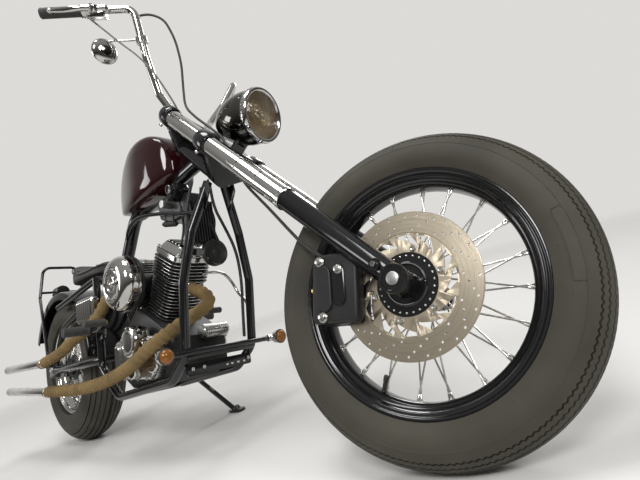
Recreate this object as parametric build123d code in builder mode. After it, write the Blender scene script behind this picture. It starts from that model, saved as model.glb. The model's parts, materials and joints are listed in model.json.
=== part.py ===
from build123d import *
import os
from math import cos, radians, sin, sqrt, tan

# A long-fork chopper motorcycle, parked on its side stand with the steering on its left stop.
# The pieces are drawn upright, in millimetres: X forward from the rear axle, Y to the left,
# Z up from the ground. At the end the steered pieces are turned, and everything is leaned.

# Stance
WHEELBASE = 1823.0
RAKE = 46.3
FORK_OFFSET = 64.7
STEER_STOP = 14.7
LEAN = 10.5

# Front wheel
FRONT_TYRE_RADIUS = 345.0
FRONT_TYRE_WIDTH = 112.0
FRONT_RIM_RADIUS = 254.0
FRONT_RIM_HALF = 42.0
FRONT_SEAT_RADIUS = 243.0
FRONT_WELL_RADIUS = 222.0
DISC_RADIUS = 149.0
DISC_Y = -68.0
DISC_THICKNESS = 5.0
HUB_COVER_RADIUS = 65.0
FRONT_HUB_RIGHT = 70.5
FRONT_HUB_LEFT = 42.0

# Rear wheel
REAR_TYRE_RADIUS = 326.0
REAR_TYRE_WIDTH = 170.0
REAR_RIM_RADIUS = 203.0
REAR_RIM_HALF = 62.0
REAR_SEAT_RADIUS = 191.0
REAR_WELL_RADIUS = 168.0
REAR_HUB_RIGHT = 62.0
REAR_HUB_LEFT = 86.0
AXLE_PLATE_Y = 122.0

# Fork, measured from the front axle up along the legs
LEG_Y = 101.5
LEG_RADIUS = 25.5
LEG_TOP = 379.0
LEG_FOOT_Y = 128.5
COVER_RADIUS = 27.5
LOWER_CLAMP = 754.0
UPPER_CLAMP = LOWER_CLAMP + 239.0
LOWER_CLAMP_HEIGHT = 44.0
UPPER_CLAMP_HEIGHT = 32.0
STEM_RADIUS = 14.0
FIT_CLEARANCE = 0.05
HEAD_RADIUS = 33.0
HEAD_GAP = 1.0
HEAD_TUBE_START = LOWER_CLAMP + LOWER_CLAMP_HEIGHT / 2 + HEAD_GAP
HEAD_TUBE_END = UPPER_CLAMP - UPPER_CLAMP_HEIGHT / 2 - HEAD_GAP
AXLE_RADIUS = 8.5

# Frame tubes, whose seat rails run a set height over the rear tyre
MAIN_TUBE = 14.0
BACKBONE_TUBE = 24.0
TUNNEL_RADIUS = 28.0
REAR_TOP = 2 * REAR_TYRE_RADIUS
RAIL_FRONT = (500.0, REAR_TOP - 11)
RAIL_REAR = (60.0, REAR_TOP - 54)
RAIL_Y = 110.0
RAIL_RADIUS = 13.0
PIVOT_X = 500.0
PIVOT_Z = REAR_TYRE_RADIUS + 4

# Engine, whose cylinders are measured along their axes from the crank
CRANK = (790.0, 330.0)
CYLINDER_LEAN = 30.0
DECK = 128.0
HEAD_BOTTOM = 262.0
HEAD_TOP = 336.0
ROCKER_TOP = 390.0
FIN_PITCH = 14.0
FIN_THICKNESS = 4.0
ENGINE_HALF = 92.0

TUBE_BEND = 60.0

sin_rake = sin(radians(RAKE))
cos_rake = cos(radians(RAKE))
steer_up = Vector(-sin_rake, 0, cos_rake)
steer_front = Vector(cos_rake, 0, sin_rake)
front_axle = Vector(WHEELBASE, 0, FRONT_TYRE_RADIUS)
rear_axle = Vector(0, 0, REAR_TYRE_RADIUS)
steer_foot = front_axle - steer_front * FORK_OFFSET
steering_axis = Axis(tuple(steer_foot), tuple(steer_up))


def fork_point(along, across=0.0, ahead=0.0):
    """A point near the fork: along the legs from the axle, across to the left, ahead of the legs."""
    return front_axle + steer_up * along + Vector(0, across, 0) + steer_front * ahead


def fork_plane(along, across=0.0, ahead=0.0):
    """A plane square to the fork legs, with its local X to the front and its local Y to the left."""
    return Plane(origin=fork_point(along, across, ahead), x_dir=steer_front, z_dir=steer_up)


def side_plane(x, y, z):
    """A plane facing the left side, with its local X to the rear and its local Y up."""
    return Plane(origin=(x, y, z), x_dir=(-1, 0, 0), z_dir=(0, 1, 0))


def add_tube(points, radius, bend=TUBE_BEND):
    """Adds a round bar along the points, with tangent bends, to the part that is being built."""
    with BuildLine() as path:
        if len(points) == 2:
            Line(*points)
        else:
            FilletPolyline(*points, radius=bend)
    with BuildSketch(Plane(origin=path.line @ 0, z_dir=path.line % 0)) as section:
        Circle(radius)
    sweep(sections=section.sketch, path=path.line)


def add_disc(plane, radius, height, hole=0.0, mode=Mode.ADD):
    """Adds a round disc or ring that rises from the plane to the part that is being built."""
    with BuildSketch(plane) as section:
        Circle(radius)
        if hole:
            Circle(hole, mode=Mode.SUBTRACT)
    extrude(section.sketch, amount=height, mode=mode)


def mirrored(point):
    """The point on the other side of the motorcycle."""
    return (point[0], -point[1], point[2])


def wheel_plane(centre, y=0.0):
    """A plane square to a wheel's axle, at a distance to the left of its middle, local Y down."""
    return Plane(origin=centre + Vector(0, y, 0), x_dir=(1, 0, 0), z_dir=(0, 1, 0))


def section_plane(centre):
    """The plane of a wheel's section: local X is the radius, local Y runs to the right."""
    return Plane(origin=centre, x_dir=(1, 0, 0), z_dir=(0, 0, -1))


def make_tyre(centre, radius, width, rim_radius, rim_half, seat_radius):
    """A tyre whose crown is one arc, seated between the flanges of its rim."""
    crown = width / 2
    middle = radius - crown
    bead = rim_half - 5
    shelf = rim_radius + 1
    flank = sqrt(crown ** 2 - (middle - shelf) ** 2)
    with BuildPart() as tyre:
        with BuildSketch(section_plane(centre)):
            with BuildLine():
                Polyline((shelf, flank), (shelf, bead), (seat_radius, bead), (seat_radius, -bead),
                         (shelf, -bead), (shelf, -flank))
                ThreePointArc((shelf, -flank), (radius, 0), (shelf, flank))
            make_face()
        revolve(axis=Axis(tuple(centre), (0, 1, 0)))
    return tyre


def make_rim(centre, rim_radius, rim_half, seat_radius, well_radius):
    """A drop-centre steel rim with rolled flanges."""
    bead = rim_half - 5
    seat = bead * 0.6
    well = bead * 0.42
    wall = 4.0
    half = [(rim_radius, rim_half), (rim_radius, bead), (seat_radius, bead), (seat_radius, seat),
            (well_radius + wall, well)]
    under = [(well_radius, well), (seat_radius - wall - 1, seat + 1), (seat_radius - wall - 1, rim_half - 3),
             (rim_radius - 8, rim_half)]
    outline = half + [(r, -y) for r, y in reversed(half)] + [(r, -y) for r, y in reversed(under)] + under
    with BuildPart() as rim:
        with BuildSketch(section_plane(centre)):
            with BuildLine():
                Polyline(*outline, close=True)
            make_face()
        revolve(axis=Axis(tuple(centre), (0, 1, 0)))
    return rim


def make_hub(centre, well_radius, flange_radius, flange_y, right_end, left_end, barrel, spoke_pairs,
             cover_y=0.0):
    """A hub with crossed spokes that end on the well of the rim, and a round cover if its place is given."""
    spoke_radius = 2.2
    lace_angle = 46.0
    spokes = []
    for side in (-1, 1):
        for lean in (-1, 1):
            start_angle = radians(90 / spoke_pairs * (lean + side))
            end_angle = start_angle + radians(lace_angle) * lean
            reach = well_radius + 3
            start = Vector((flange_radius - 7) * cos(start_angle), (flange_radius - 7) * sin(start_angle),
                           side * (flange_y + lean * 1.5))
            end = Vector(reach * cos(end_angle), reach * sin(end_angle), side * 6)
            with BuildPart() as spoke:
                with BuildSketch(Plane(origin=start, z_dir=end - start)):
                    RegularPolygon(spoke_radius, 6)
                extrude(amount=(end - start).length)
            spokes.append(spoke.part)
    with BuildPart() as hub:
        add_disc(wheel_plane(centre, right_end), barrel, left_end - right_end)
        for side in (-1, 1):
            add_disc(wheel_plane(centre, side * flange_y - 3), flange_radius, 6)
        if cover_y:
            add_disc(wheel_plane(centre, cover_y), HUB_COVER_RADIUS, 7)
        with Locations(wheel_plane(centre)):
            with PolarLocations(0, spoke_pairs):
                add(spokes)
        add_disc(wheel_plane(centre, right_end - 10), AXLE_RADIUS + FIT_CLEARANCE, left_end - right_end + 20,
                 mode=Mode.SUBTRACT)
        add_disc(wheel_plane(centre, right_end), well_radius + 40, left_end - right_end, well_radius,
                 Mode.SUBTRACT)
    return hub


def make_disc():
    """The brake disc: a drilled band on a carrier with swept windows, bolted round the hub cover."""
    window_count = 12
    windows_in = 80.0
    windows_out = 100.0
    with BuildPart() as disc:
        add_disc(wheel_plane(front_axle, DISC_Y - DISC_THICKNESS / 2), DISC_RADIUS, DISC_THICKNESS,
                 HUB_COVER_RADIUS)
        for index in range(window_count):
            turn = 360 / window_count * index
            plane = wheel_plane(front_axle, DISC_Y - DISC_THICKNESS)
            with BuildSketch(plane) as window:
                with Locations(Rotation(0, 0, turn)):
                    with Locations(((windows_in + windows_out) / 2, 0)):
                        SlotOverall(32, windows_out - windows_in - 9, rotation=62)
            extrude(window.sketch, amount=2 * DISC_THICKNESS, mode=Mode.SUBTRACT)
    return disc


def make_leg(side):
    """A lower fork leg with the axle clamp at its foot and a ring at its top."""
    inner = LEG_Y - LEG_RADIUS
    with BuildPart() as leg:
        add_disc(fork_plane(-22, side * LEG_Y), LEG_RADIUS, LEG_TOP + 22)
        add_disc(fork_plane(LEG_TOP - 14, side * LEG_Y), LEG_RADIUS + 2.5, 14)
        with BuildSketch(wheel_plane(front_axle, side * inner)) as boss:
            Circle(27)
        extrude(boss.sketch, amount=side * (LEG_FOOT_Y - inner))
        with BuildSketch(wheel_plane(front_axle, side * (inner - 10))) as bore:
            Circle(AXLE_RADIUS)
        extrude(bore.sketch, amount=side * 80, mode=Mode.SUBTRACT)
    return leg


def make_fork_tube(side):
    """The polished upper tube with two grooves, through both clamps, and its cap."""
    groove_at = (470.0, 560.0)
    top = UPPER_CLAMP + UPPER_CLAMP_HEIGHT / 2
    with BuildPart() as tube:
        add_disc(fork_plane(LEG_TOP, side * LEG_Y), COVER_RADIUS, top - LEG_TOP)
        add_disc(fork_plane(top, side * LEG_Y), COVER_RADIUS - 3, 12)
        for along in groove_at:
            add_disc(fork_plane(along, side * LEG_Y), COVER_RADIUS + 1, 5, COVER_RADIUS - 1.5, Mode.SUBTRACT)
    return tube


def make_clamp(along, height, reach):
    """A fork clamp that joins both tubes ahead of the steering axis."""
    bottom = along - height / 2
    back = 8 - FORK_OFFSET - reach
    with BuildPart() as clamp:
        with BuildSketch(fork_plane(bottom)) as plate:
            with Locations((0, -LEG_Y), (0, LEG_Y)):
                Circle(COVER_RADIUS + 7)
            with Locations((-FORK_OFFSET, 0)):
                Circle(reach)
            with BuildLine():
                Polyline((COVER_RADIUS - 4, -LEG_Y), (COVER_RADIUS - 4, LEG_Y), (-COVER_RADIUS, LEG_Y),
                         (back, 20), (back, -20), (-COVER_RADIUS, -LEG_Y), close=True)
            make_face()
            with Locations((0, -LEG_Y), (0, LEG_Y)):
                Circle(COVER_RADIUS, mode=Mode.SUBTRACT)
        extrude(plate.sketch, amount=height)
    return clamp


def make_lower_clamp(bucket):
    """The lower clamp with the steering stem and the stay that carries the headlamp."""
    bottom = LOWER_CLAMP - LOWER_CLAMP_HEIGHT / 2
    stem_length = UPPER_CLAMP - UPPER_CLAMP_HEIGHT / 2 - LOWER_CLAMP - LOWER_CLAMP_HEIGHT / 2
    with BuildPart() as clamp:
        add(make_clamp(LOWER_CLAMP, LOWER_CLAMP_HEIGHT, 36).part)
        add_disc(fork_plane(bottom + LOWER_CLAMP_HEIGHT, 0, -FORK_OFFSET), STEM_RADIUS, stem_length)
        with BuildSketch(fork_plane(LOWER_CLAMP - 12, 0, COVER_RADIUS - 6)) as shelf:
            Rectangle(62, 46, align=(Align.MIN, Align.CENTER))
        extrude(shelf.sketch, amount=9)
        post_foot = fork_point(LOWER_CLAMP - 8, 0, COVER_RADIUS + 44)
        add_tube([post_foot, LAMP_CENTRE + Vector(-84, 0, -28)], 11)
        add(bucket.part, mode=Mode.SUBTRACT)
    return clamp


def make_front_axle():
    """The front wheel's axle with its end collars and the spacers beside the hub."""
    inner = LEG_Y - LEG_RADIUS
    with BuildPart() as axle:
        add_disc(wheel_plane(front_axle, -LEG_FOOT_Y), AXLE_RADIUS, 2 * LEG_FOOT_Y)
        add_disc(wheel_plane(front_axle, -LEG_FOOT_Y - 9), 13, 9)
        add_disc(wheel_plane(front_axle, LEG_FOOT_Y), 13, 9)
        add_disc(wheel_plane(front_axle, -inner), 13, inner - FRONT_HUB_RIGHT - 1)
        add_disc(wheel_plane(front_axle, FRONT_HUB_LEFT + 1), 13, inner - FRONT_HUB_LEFT - 1)
    return axle


def make_rear_axle():
    """The rear wheel's axle with its nut and its right spacer."""
    with BuildPart() as axle:
        add_disc(wheel_plane(rear_axle, -AXLE_PLATE_Y - 22), AXLE_RADIUS, 2 * AXLE_PLATE_Y + 30)
        add_disc(wheel_plane(rear_axle, -AXLE_PLATE_Y - 18), 16, 12)
        add_disc(wheel_plane(rear_axle, -AXLE_PLATE_Y + 6), 14, AXLE_PLATE_Y - 6 - REAR_HUB_RIGHT - 1)
    return axle


BAR_RADIUS = 12.5
BAR_RISE = UPPER_CLAMP + UPPER_CLAMP_HEIGHT / 2 + BAR_RADIUS + 3
BAR_MIDDLE = fork_point(BAR_RISE)


def bar_place(ahead, left, above):
    """A point of the handlebar group, measured from the middle of the bar in its clamps."""
    return (BAR_MIDDLE.X + ahead, left, BAR_MIDDLE.Z + above)


HANDLEBAR = [bar_place(0, 0, 0), bar_place(0, -52, 0), bar_place(-32, -112, 85), bar_place(-30, -172, 197),
             bar_place(-26, -236, 351), bar_place(-270, -411, 339)]
GRIP_LENGTH = 134.0


def make_handlebar():
    """The tall bar: out from the clamps, up, then back to the grips."""
    right = [Vector(*p) for p in HANDLEBAR]
    left = [Vector(*mirrored(p)) for p in HANDLEBAR]
    with BuildPart() as bar:
        for half in (right, left):
            add_tube(half, BAR_RADIUS, 34)
        for side in (-1, 1):
            with BuildSketch(fork_plane(UPPER_CLAMP + UPPER_CLAMP_HEIGHT / 2, side * 30)) as block:
                RectangleRounded(38, 24, 5)
            extrude(block.sketch, amount=32)
    return bar


def bar_point(side, back):
    """A point on the straight grip end of the bar, back from its tip."""
    tip = Vector(*HANDLEBAR[-1])
    bend = Vector(*HANDLEBAR[-2])
    point = tip + (bend - tip).normalized() * back
    return Vector(point.X, point.Y * -side, point.Z)


def make_grip(side):
    """A rubber grip over the end of the bar."""
    tip = bar_point(side, 0)
    end = bar_point(side, GRIP_LENGTH)
    with BuildPart() as grip:
        add_disc(Plane(origin=tip, z_dir=end - tip), 17, GRIP_LENGTH, BAR_RADIUS)
    return grip


def make_lever(side):
    """A lever on its perch with the housing beside the grip; the right one carries the master cylinder."""
    outer = bar_point(side, GRIP_LENGTH + 1)
    inner = bar_point(side, GRIP_LENGTH + 72)
    run = (outer - inner).normalized()
    ahead = Vector(run.Y * side, -run.X * side, 0).normalized()
    with BuildPart() as lever:
        add_disc(Plane(origin=outer, z_dir=-run), 21, 34, BAR_RADIUS)
        add_disc(Plane(origin=outer - run * 40, z_dir=-run), 18, 31, BAR_RADIUS)
        with BuildSketch(Plane(origin=outer - run * 54 + ahead * 15, x_dir=(0, 0, 1), z_dir=ahead)) as arm:
            RectangleRounded(22, 26, 4)
        extrude(arm.sketch, amount=34)
        add_disc(Plane(origin=outer - run * 34 + ahead * 33, z_dir=-run), 13, 62)
        lever_points = [outer - run * 44 + ahead * 46, outer + run * 10 + ahead * 60,
                        outer + run * 122 + ahead * 46]
        add_tube(lever_points, 5.5, 40)
    return lever


def make_mirror():
    """The small round mirror on its stem, clamped to the right bar."""
    centre = Vector(bar_place(-120, -262, 209))
    clamp = Vector(bar_place(-28, -195, 253))
    elbow = Vector(bar_place(-70, -222, 249))
    back = Vector(-0.9, -0.25, -0.12).normalized()
    with BuildPart() as mirror:
        add_disc(Plane(origin=centre - back * 7, z_dir=back), 41, 14)
        add_tube([clamp, elbow, centre + Vector(0, 0, 30)], 4.5, 12)
        add(make_handlebar().part, mode=Mode.SUBTRACT)
    return mirror


def make_cable(points, radius, neighbours=()):
    """A hose or cable along its route, with bends as wide as its runs allow."""
    route = [Vector(*p) for p in points]
    radii = []
    for before, corner, after in zip(route, route[1:], route[2:]):
        turn = radians((corner - before).get_angle(after - corner))
        run = min((corner - before).length, (after - corner).length)
        radii.append(min(0.45 * run / tan(turn / 2), 400))
    with BuildPart() as cable:
        add_tube(route, radius, radii)
        for neighbour in neighbours:
            add(neighbour.part, mode=Mode.SUBTRACT)
    return cable


def hose_point(along, across, ahead):
    """A fork point as a plain tuple."""
    return tuple(fork_point(along, across, ahead))


HOSE_RADIUS = 4.0
BRAKE_HOSE = [
    bar_place(-78, -206, 372), bar_place(-30, -176, 383), bar_place(14, -146, 355), bar_place(34, -112, 285),
    bar_place(40, -84, 195), bar_place(38, -70, 103), hose_point(UPPER_CLAMP + 17, -64, 50),
    hose_point(UPPER_CLAMP - 68, -62, 42), hose_point(LOWER_CLAMP + 81, -63, 40),
    hose_point(LOWER_CLAMP, -64, 37), hose_point(LOWER_CLAMP - 60, -67, 16),
    hose_point(LOWER_CLAMP - 130, -71, -18), hose_point(LOWER_CLAMP - 224, -73, -36),
    hose_point(430, -74, -46), hose_point(330, -76, -58), hose_point(262, -82, -64),
    hose_point(194, -84, -58),
]
CABLE_RADIUS = 3.0
THROTTLE_CABLE = [
    bar_place(-146, -322, 321), bar_place(-110, -286, 277), bar_place(-72, -240, 229),
    bar_place(-34, -204, 187), bar_place(-10, -160, 143), bar_place(-2, -112, 95), bar_place(-4, -66, 57),
    bar_place(-22, -24, 37),
]

LAMP_CENTRE = Vector(1396, 0, 962)
LAMP_AXIS = Vector(0.982, 0, -0.19)
LENS_RADIUS = 70.0


def make_headlamp_shell():
    """The bullet-shaped lamp body with its rim ring."""
    axis_dir = LAMP_AXIS.normalized()
    with BuildPart() as bucket:
        with BuildSketch(Plane(origin=LAMP_CENTRE, x_dir=axis_dir, z_dir=(0, 1, 0))):
            with BuildLine():
                ThreePointArc((-180, 10), (-128, 58), (-10, 80))
                Polyline((-10, 80), (0, 84), (16, 84), (16, LENS_RADIUS), (0, LENS_RADIUS), (0, 0),
                         (-180, 0), (-180, 10))
            make_face()
        revolve(axis=Axis(tuple(LAMP_CENTRE), tuple(axis_dir)))
    return bucket


def make_headlamp_lens():
    """The slightly domed clear lens."""
    axis_dir = LAMP_AXIS.normalized()
    edge = 8.0
    crown = 20.0
    dome = (LENS_RADIUS ** 2 + (crown - edge) ** 2) / (2 * (crown - edge))
    half = LENS_RADIUS / 2
    half_rise = crown - dome + sqrt(dome ** 2 - half ** 2)
    with BuildPart() as lens:
        with BuildSketch(Plane(origin=LAMP_CENTRE, x_dir=axis_dir, z_dir=(0, 1, 0))):
            with BuildLine():
                Polyline((crown, 0), (0, 0), (0, LENS_RADIUS), (edge, LENS_RADIUS))
                ThreePointArc((edge, LENS_RADIUS), (half_rise, half), (crown, 0))
            make_face()
        revolve(axis=Axis(tuple(LAMP_CENTRE), tuple(axis_dir)))
    return lens


def make_caliper(leg):
    """The brake caliper, which straddles the disc and seats on the back of the right leg."""
    outer_y = DISC_Y - 34
    gap = DISC_THICKNESS + 10
    with BuildPart() as caliper:
        with BuildSketch(wheel_plane(front_axle, outer_y)) as body:
            with Locations((-148, -16)):
                RectangleRounded(113, 150, 16, rotation=4)
        extrude(body.sketch, amount=57)
        fillet(caliper.faces().sort_by(Axis.Y)[0].edges(), 8)
        add_disc(wheel_plane(front_axle, DISC_Y - gap / 2), DISC_RADIUS + 5, gap, mode=Mode.SUBTRACT)
        add(leg.part, mode=Mode.SUBTRACT)
    return caliper


HEAD_MIDDLE = fork_point((HEAD_TUBE_START + HEAD_TUBE_END) / 2, 0, -FORK_OFFSET)
BACKBONE_BEND = Vector(650, 0, 850)


def make_backbone():
    """The head tube and the backbone that runs back under the tank, with two collars that carry the tank."""
    collar_at = (0.32, 0.86)
    run = BACKBONE_BEND - HEAD_MIDDLE
    end = Vector(RAIL_FRONT[0] - 3, 0, RAIL_FRONT[1] - 1)
    with BuildPart() as backbone:
        add_disc(fork_plane(HEAD_TUBE_START, 0, -FORK_OFFSET), HEAD_RADIUS, HEAD_TUBE_END - HEAD_TUBE_START)
        add_tube([HEAD_MIDDLE, BACKBONE_BEND, end], BACKBONE_TUBE, 80)
        for share in collar_at:
            add_disc(Plane(origin=HEAD_MIDDLE + run * share, z_dir=run), TUNNEL_RADIUS, 18)
        add_disc(fork_plane(HEAD_TUBE_START - 10, 0, -FORK_OFFSET), STEM_RADIUS + FIT_CLEARANCE,
                 HEAD_TUBE_END - HEAD_TUBE_START + 20, mode=Mode.SUBTRACT)
    return backbone


CRADLE = [(1200, 30, 800), (1166, 88, 650), (1143, 121, 500), (1110, 121, 290), (1020, 119, 226),
          (640, 116, 190), (PIVOT_X, 112, PIVOT_Z - 30), (RAIL_FRONT[0], RAIL_Y, RAIL_FRONT[1] + 4)]

STAND_PIVOT = Vector(700, 144, 210)
STAND_FOOT = Vector(790, 258, 258 * tan(radians(LEAN)))
STAND_STORED = Vector(-215, 40, -30)
STAND_AXIS = (STAND_FOOT - STAND_PIVOT).cross(STAND_STORED).normalized()
STAND_SWING = (STAND_FOOT - STAND_PIVOT).get_angle(STAND_STORED)
STAND_PIN = 5.0


def make_cradle(side, backbone):
    """One side of the frame's cradle: down tube, bottom rail, rear upright and seat rail."""
    points = [Vector(x, side * y, z) for x, y, z in CRADLE]
    with BuildPart() as cradle:
        add_tube(points, MAIN_TUBE, 60)
        rail_front = Vector(RAIL_FRONT[0], side * RAIL_Y, RAIL_FRONT[1])
        rail_rear = Vector(RAIL_REAR[0], side * RAIL_Y, RAIL_REAR[1])
        add_tube([rail_front, rail_rear], RAIL_RADIUS)
        if side > 0:
            add_disc(Plane(origin=STAND_PIVOT - STAND_AXIS * 32, z_dir=STAND_AXIS), 9, 26)
            add_disc(Plane(origin=STAND_PIVOT - STAND_AXIS * 10, z_dir=STAND_AXIS), STAND_PIN, 20)
            add_disc(Plane(origin=STAND_PIVOT + STAND_AXIS * 6, z_dir=STAND_AXIS), 9, 5)
        add(backbone.part, mode=Mode.SUBTRACT)
    return cradle


# Cross tubes: place along X, reach to each side, height, tube radius
CROSS_TUBES = [
    (1110, 121, 290, 12),
    (640, 116, 192, 12),
    (PIVOT_X, 112, PIVOT_Z, 12),
    (RAIL_FRONT[0], RAIL_Y, RAIL_FRONT[1], 12),
    (1132, 196, 300, 8),
]


def make_cross_tubes(neighbours):
    """The tubes that join the two cradles, the bar of the indicators and the low front plate."""
    with BuildPart() as tubes:
        for x, reach, z, radius in CROSS_TUBES:
            add_tube([Vector(x, -reach, z), Vector(x, reach, z)], radius)
        with BuildSketch(Plane(origin=(1094, 0, 250), x_dir=(0, 1, 0), z_dir=(1, 0, 0))) as plate:
            RectangleRounded(232, 34, 8)
        extrude(plate.sketch, amount=6)
        for neighbour in neighbours:
            add(neighbour.part, mode=Mode.SUBTRACT)
    return tubes


def make_indicators(bar):
    """The two small bullet-shaped indicators with their amber lenses to the front."""
    with BuildPart() as lamps:
        for side in (-1, 1):
            foot = (1114, side * 206, 300)
            with BuildSketch(Plane(origin=foot, x_dir=(1, 0, 0), z_dir=(0, 1, 0))) as profile:
                with BuildLine():
                    Polyline((0, 8), (0, 0), (62, 0))
                    ThreePointArc((62, 0), (57, 17), (44, 23))
                    Line((44, 23), (26, 23))
                    ThreePointArc((26, 23), (9, 18), (0, 8))
                make_face()
            revolve(profiles=profile.sketch, axis=Axis(foot, (1, 0, 0)))
        add(bar.part, mode=Mode.SUBTRACT)
    return lamps


def make_crankcase(cross_tubes):
    """The engine's block with its two decks for the cylinders and its lugs on the cross tubes."""
    deck_foot = 921 - CRANK[0]
    apex = CRANK[1] + DECK / cos(radians(CYLINDER_LEAN))
    shoulder = apex - deck_foot * tan(radians(CYLINDER_LEAN))
    front_deck = -CRANK[0] - deck_foot
    rear_deck = -CRANK[0] + deck_foot
    with BuildPart() as case:
        with BuildSketch(side_plane(0, ENGINE_HALF, 0)) as outline:
            with BuildLine():
                Polyline((-640, 250), (-700, 214), (-940, 214), (-1008, 262), (-1008, 352),
                         (front_deck, shoulder), (-CRANK[0], apex), (rear_deck, shoulder), (-600, 368),
                         (-600, 300), close=True)
            make_face()
        extrude(outline.sketch, amount=-2 * ENGINE_HALF)
        with Locations((1054, 0, 290)):
            Box(94, 64, 22)
        with Locations((642, 0, 224)):
            Box(26, 64, 52)
        add(cross_tubes.part, mode=Mode.SUBTRACT)
    return case


def make_engine_cover(side):
    """A polished engine side cover; the right one carries a round cover that stands out."""
    depth = 34.0
    with BuildPart() as cover:
        with BuildSketch(side_plane(0, side * ENGINE_HALF, 0)) as outline:
            with BuildLine():
                FilletPolyline((-660, 250), (-900, 236), (-980, 300), (-960, 372), (-640, 384), radius=34,
                               close=True)
            make_face()
        extrude(outline.sketch, amount=side * depth)
        fillet(cover.faces().sort_by(Axis.Y)[0 if side < 0 else -1].edges(), 10)
        if side < 0:
            with BuildSketch(side_plane(850, -ENGINE_HALF - 20, 366)) as round_outline:
                Circle(46)
            extrude(round_outline.sketch, amount=-56)
            fillet(cover.faces().sort_by(Axis.Y)[0].edges(), 10)
    return cover


def cylinder_plane(lean, along, y=0.0):
    """A plane square to a cylinder's axis, at a distance from the crank."""
    up = Vector(sin(radians(lean)), 0, cos(radians(lean)))
    across = Vector(cos(radians(lean)), 0, -sin(radians(lean)))
    origin = Vector(CRANK[0], y, CRANK[1]) + up * along
    return Plane(origin=origin, x_dir=across, z_dir=up)


def make_cylinders(pipes):
    """The two finned air-cooled cylinders with their heads."""
    barrel_fins = int((HEAD_BOTTOM - DECK - 8) // FIN_PITCH) + 1
    head_fins = int((HEAD_TOP - HEAD_BOTTOM - 6) // FIN_PITCH) + 1
    with BuildPart() as cylinders:
        for lean in (CYLINDER_LEAN, -CYLINDER_LEAN):
            add_disc(cylinder_plane(lean, DECK), 56, HEAD_BOTTOM - DECK)
            for index in range(barrel_fins):
                with BuildSketch(cylinder_plane(lean, DECK + 8 + index * FIN_PITCH)) as fin:
                    RectangleRounded(152, 140, 38)
                extrude(fin.sketch, amount=FIN_THICKNESS)
            with BuildSketch(cylinder_plane(lean, HEAD_BOTTOM)) as head:
                RectangleRounded(134, 120, 20)
            extrude(head.sketch, amount=HEAD_TOP - HEAD_BOTTOM)
            for index in range(head_fins):
                with BuildSketch(cylinder_plane(lean, HEAD_BOTTOM + 6 + index * FIN_PITCH)) as fin:
                    RectangleRounded(160, 140, 30)
                extrude(fin.sketch, amount=FIN_THICKNESS)
        for pipe in pipes:
            add(pipe.part, mode=Mode.SUBTRACT)
    return cylinders


def make_rocker_covers():
    """The polished rocker covers on top of the cylinders."""
    step = (ROCKER_TOP - HEAD_TOP) / 2
    with BuildPart() as covers:
        for lean in (CYLINDER_LEAN, -CYLINDER_LEAN):
            with BuildSketch(cylinder_plane(lean, HEAD_TOP)) as outline:
                RectangleRounded(152, 132, 24)
            extrude(outline.sketch, amount=step)
            with BuildSketch(cylinder_plane(lean, HEAD_TOP + step)) as outline:
                RectangleRounded(152, 132, 24)
            extrude(outline.sketch, amount=step, taper=18)
    return covers


AIR_CLEANER = (795.0, 566.0)


def make_air_cleaner(cylinders):
    """The round polished air cleaner: flat centre disc, backing, and duct between the cylinders."""
    x, z = AIR_CLEANER
    with BuildPart() as cleaner:
        with BuildSketch(Plane(origin=(x, 0, z), x_dir=(1, 0, 0), z_dir=(0, 0, 1))):
            with BuildLine():
                Polyline((0, -30), (30, -30), (30, -104), (90, -104), (92, -116), (95, -116), (95, -142))
                ThreePointArc((95, -142), (86, -168), (62, -180))
                Polyline((62, -180), (60, -176), (54, -176), (52, -184), (0, -184), (0, -30))
            make_face()
        revolve(axis=Axis((x, 0, z), (0, 1, 0)))
        with Locations((x, -20, z)):
            Box(190, 56, 44)
        add(cylinders.part, mode=Mode.SUBTRACT)
    return cleaner


def make_oil_filter(crankcase):
    """The oil filter's round cover, which lies across the front of the engine."""
    with BuildPart() as cover:
        add_disc(Plane(origin=(1026, -10, 358), z_dir=(0, 1, 0)), 23, 92)
        with Locations((1006, 36, 346)):
            Box(26, 60, 34)
        add(crankcase.part, mode=Mode.SUBTRACT)
    return cover


def make_horn(neighbours):
    """The round horn between the down tubes on its strap."""
    with BuildPart() as horn:
        add_disc(Plane(origin=(1092, 28, 600), z_dir=(1, 0, 0)), 44, 26)
        add_disc(Plane(origin=(1062, 28, 600), z_dir=(1, 0, 0)), 18, 30)
        add_tube([Vector(1098, 28, 634), Vector(1108, 34, 700), Vector(1184, 40, 742)], 5, 20)
        for neighbour in neighbours:
            add(neighbour.part, mode=Mode.SUBTRACT)
    return horn


PIPE_RADIUS = 19.0
TIP_RADIUS = 18.0
FRONT_PIPE = [(985, 0, 552), (1058, 0, 510), (1084, -20, 440), (1060, -98, 392), (980, -156, 340),
              (860, -166, 287), (640, -176, 247), (430, -186, 239), (180, -205, 245)]
FRONT_TIP_END = (-290, -226, 267)
REAR_PIPE = [(600, -50, 575), (600, -104, 566), (612, -150, 490), (560, -172, 448), (411, -180, 424),
             (304, -182, 390), (150, -205, 362)]
REAR_TIP_END = (-270, -235, 366)


def make_exhaust(points, tip_end):
    """An exhaust pipe in its heat wrap with its bare polished end."""
    start = Vector(*points[-1])
    end = Vector(*tip_end)
    with BuildPart() as pipe:
        add_tube([Vector(*p) for p in points], PIPE_RADIUS, 28)
        add_disc(Plane(origin=start, z_dir=end - start), TIP_RADIUS, (end - start).length)
        add_disc(Plane(origin=end, z_dir=start - end), TIP_RADIUS - 2.5, 60, mode=Mode.SUBTRACT)
    return pipe


# Tank sections: place along X, bottom, top, half width
TANK_SECTIONS = [
    (1016, 905, 985, 30),
    (960, 868, 1052, 82),
    (880, 850, 1086, 97),
    (780, 850, 1080, 84),
    (680, 858, 1036, 58),
    (570, 880, 930, 22),
]


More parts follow.
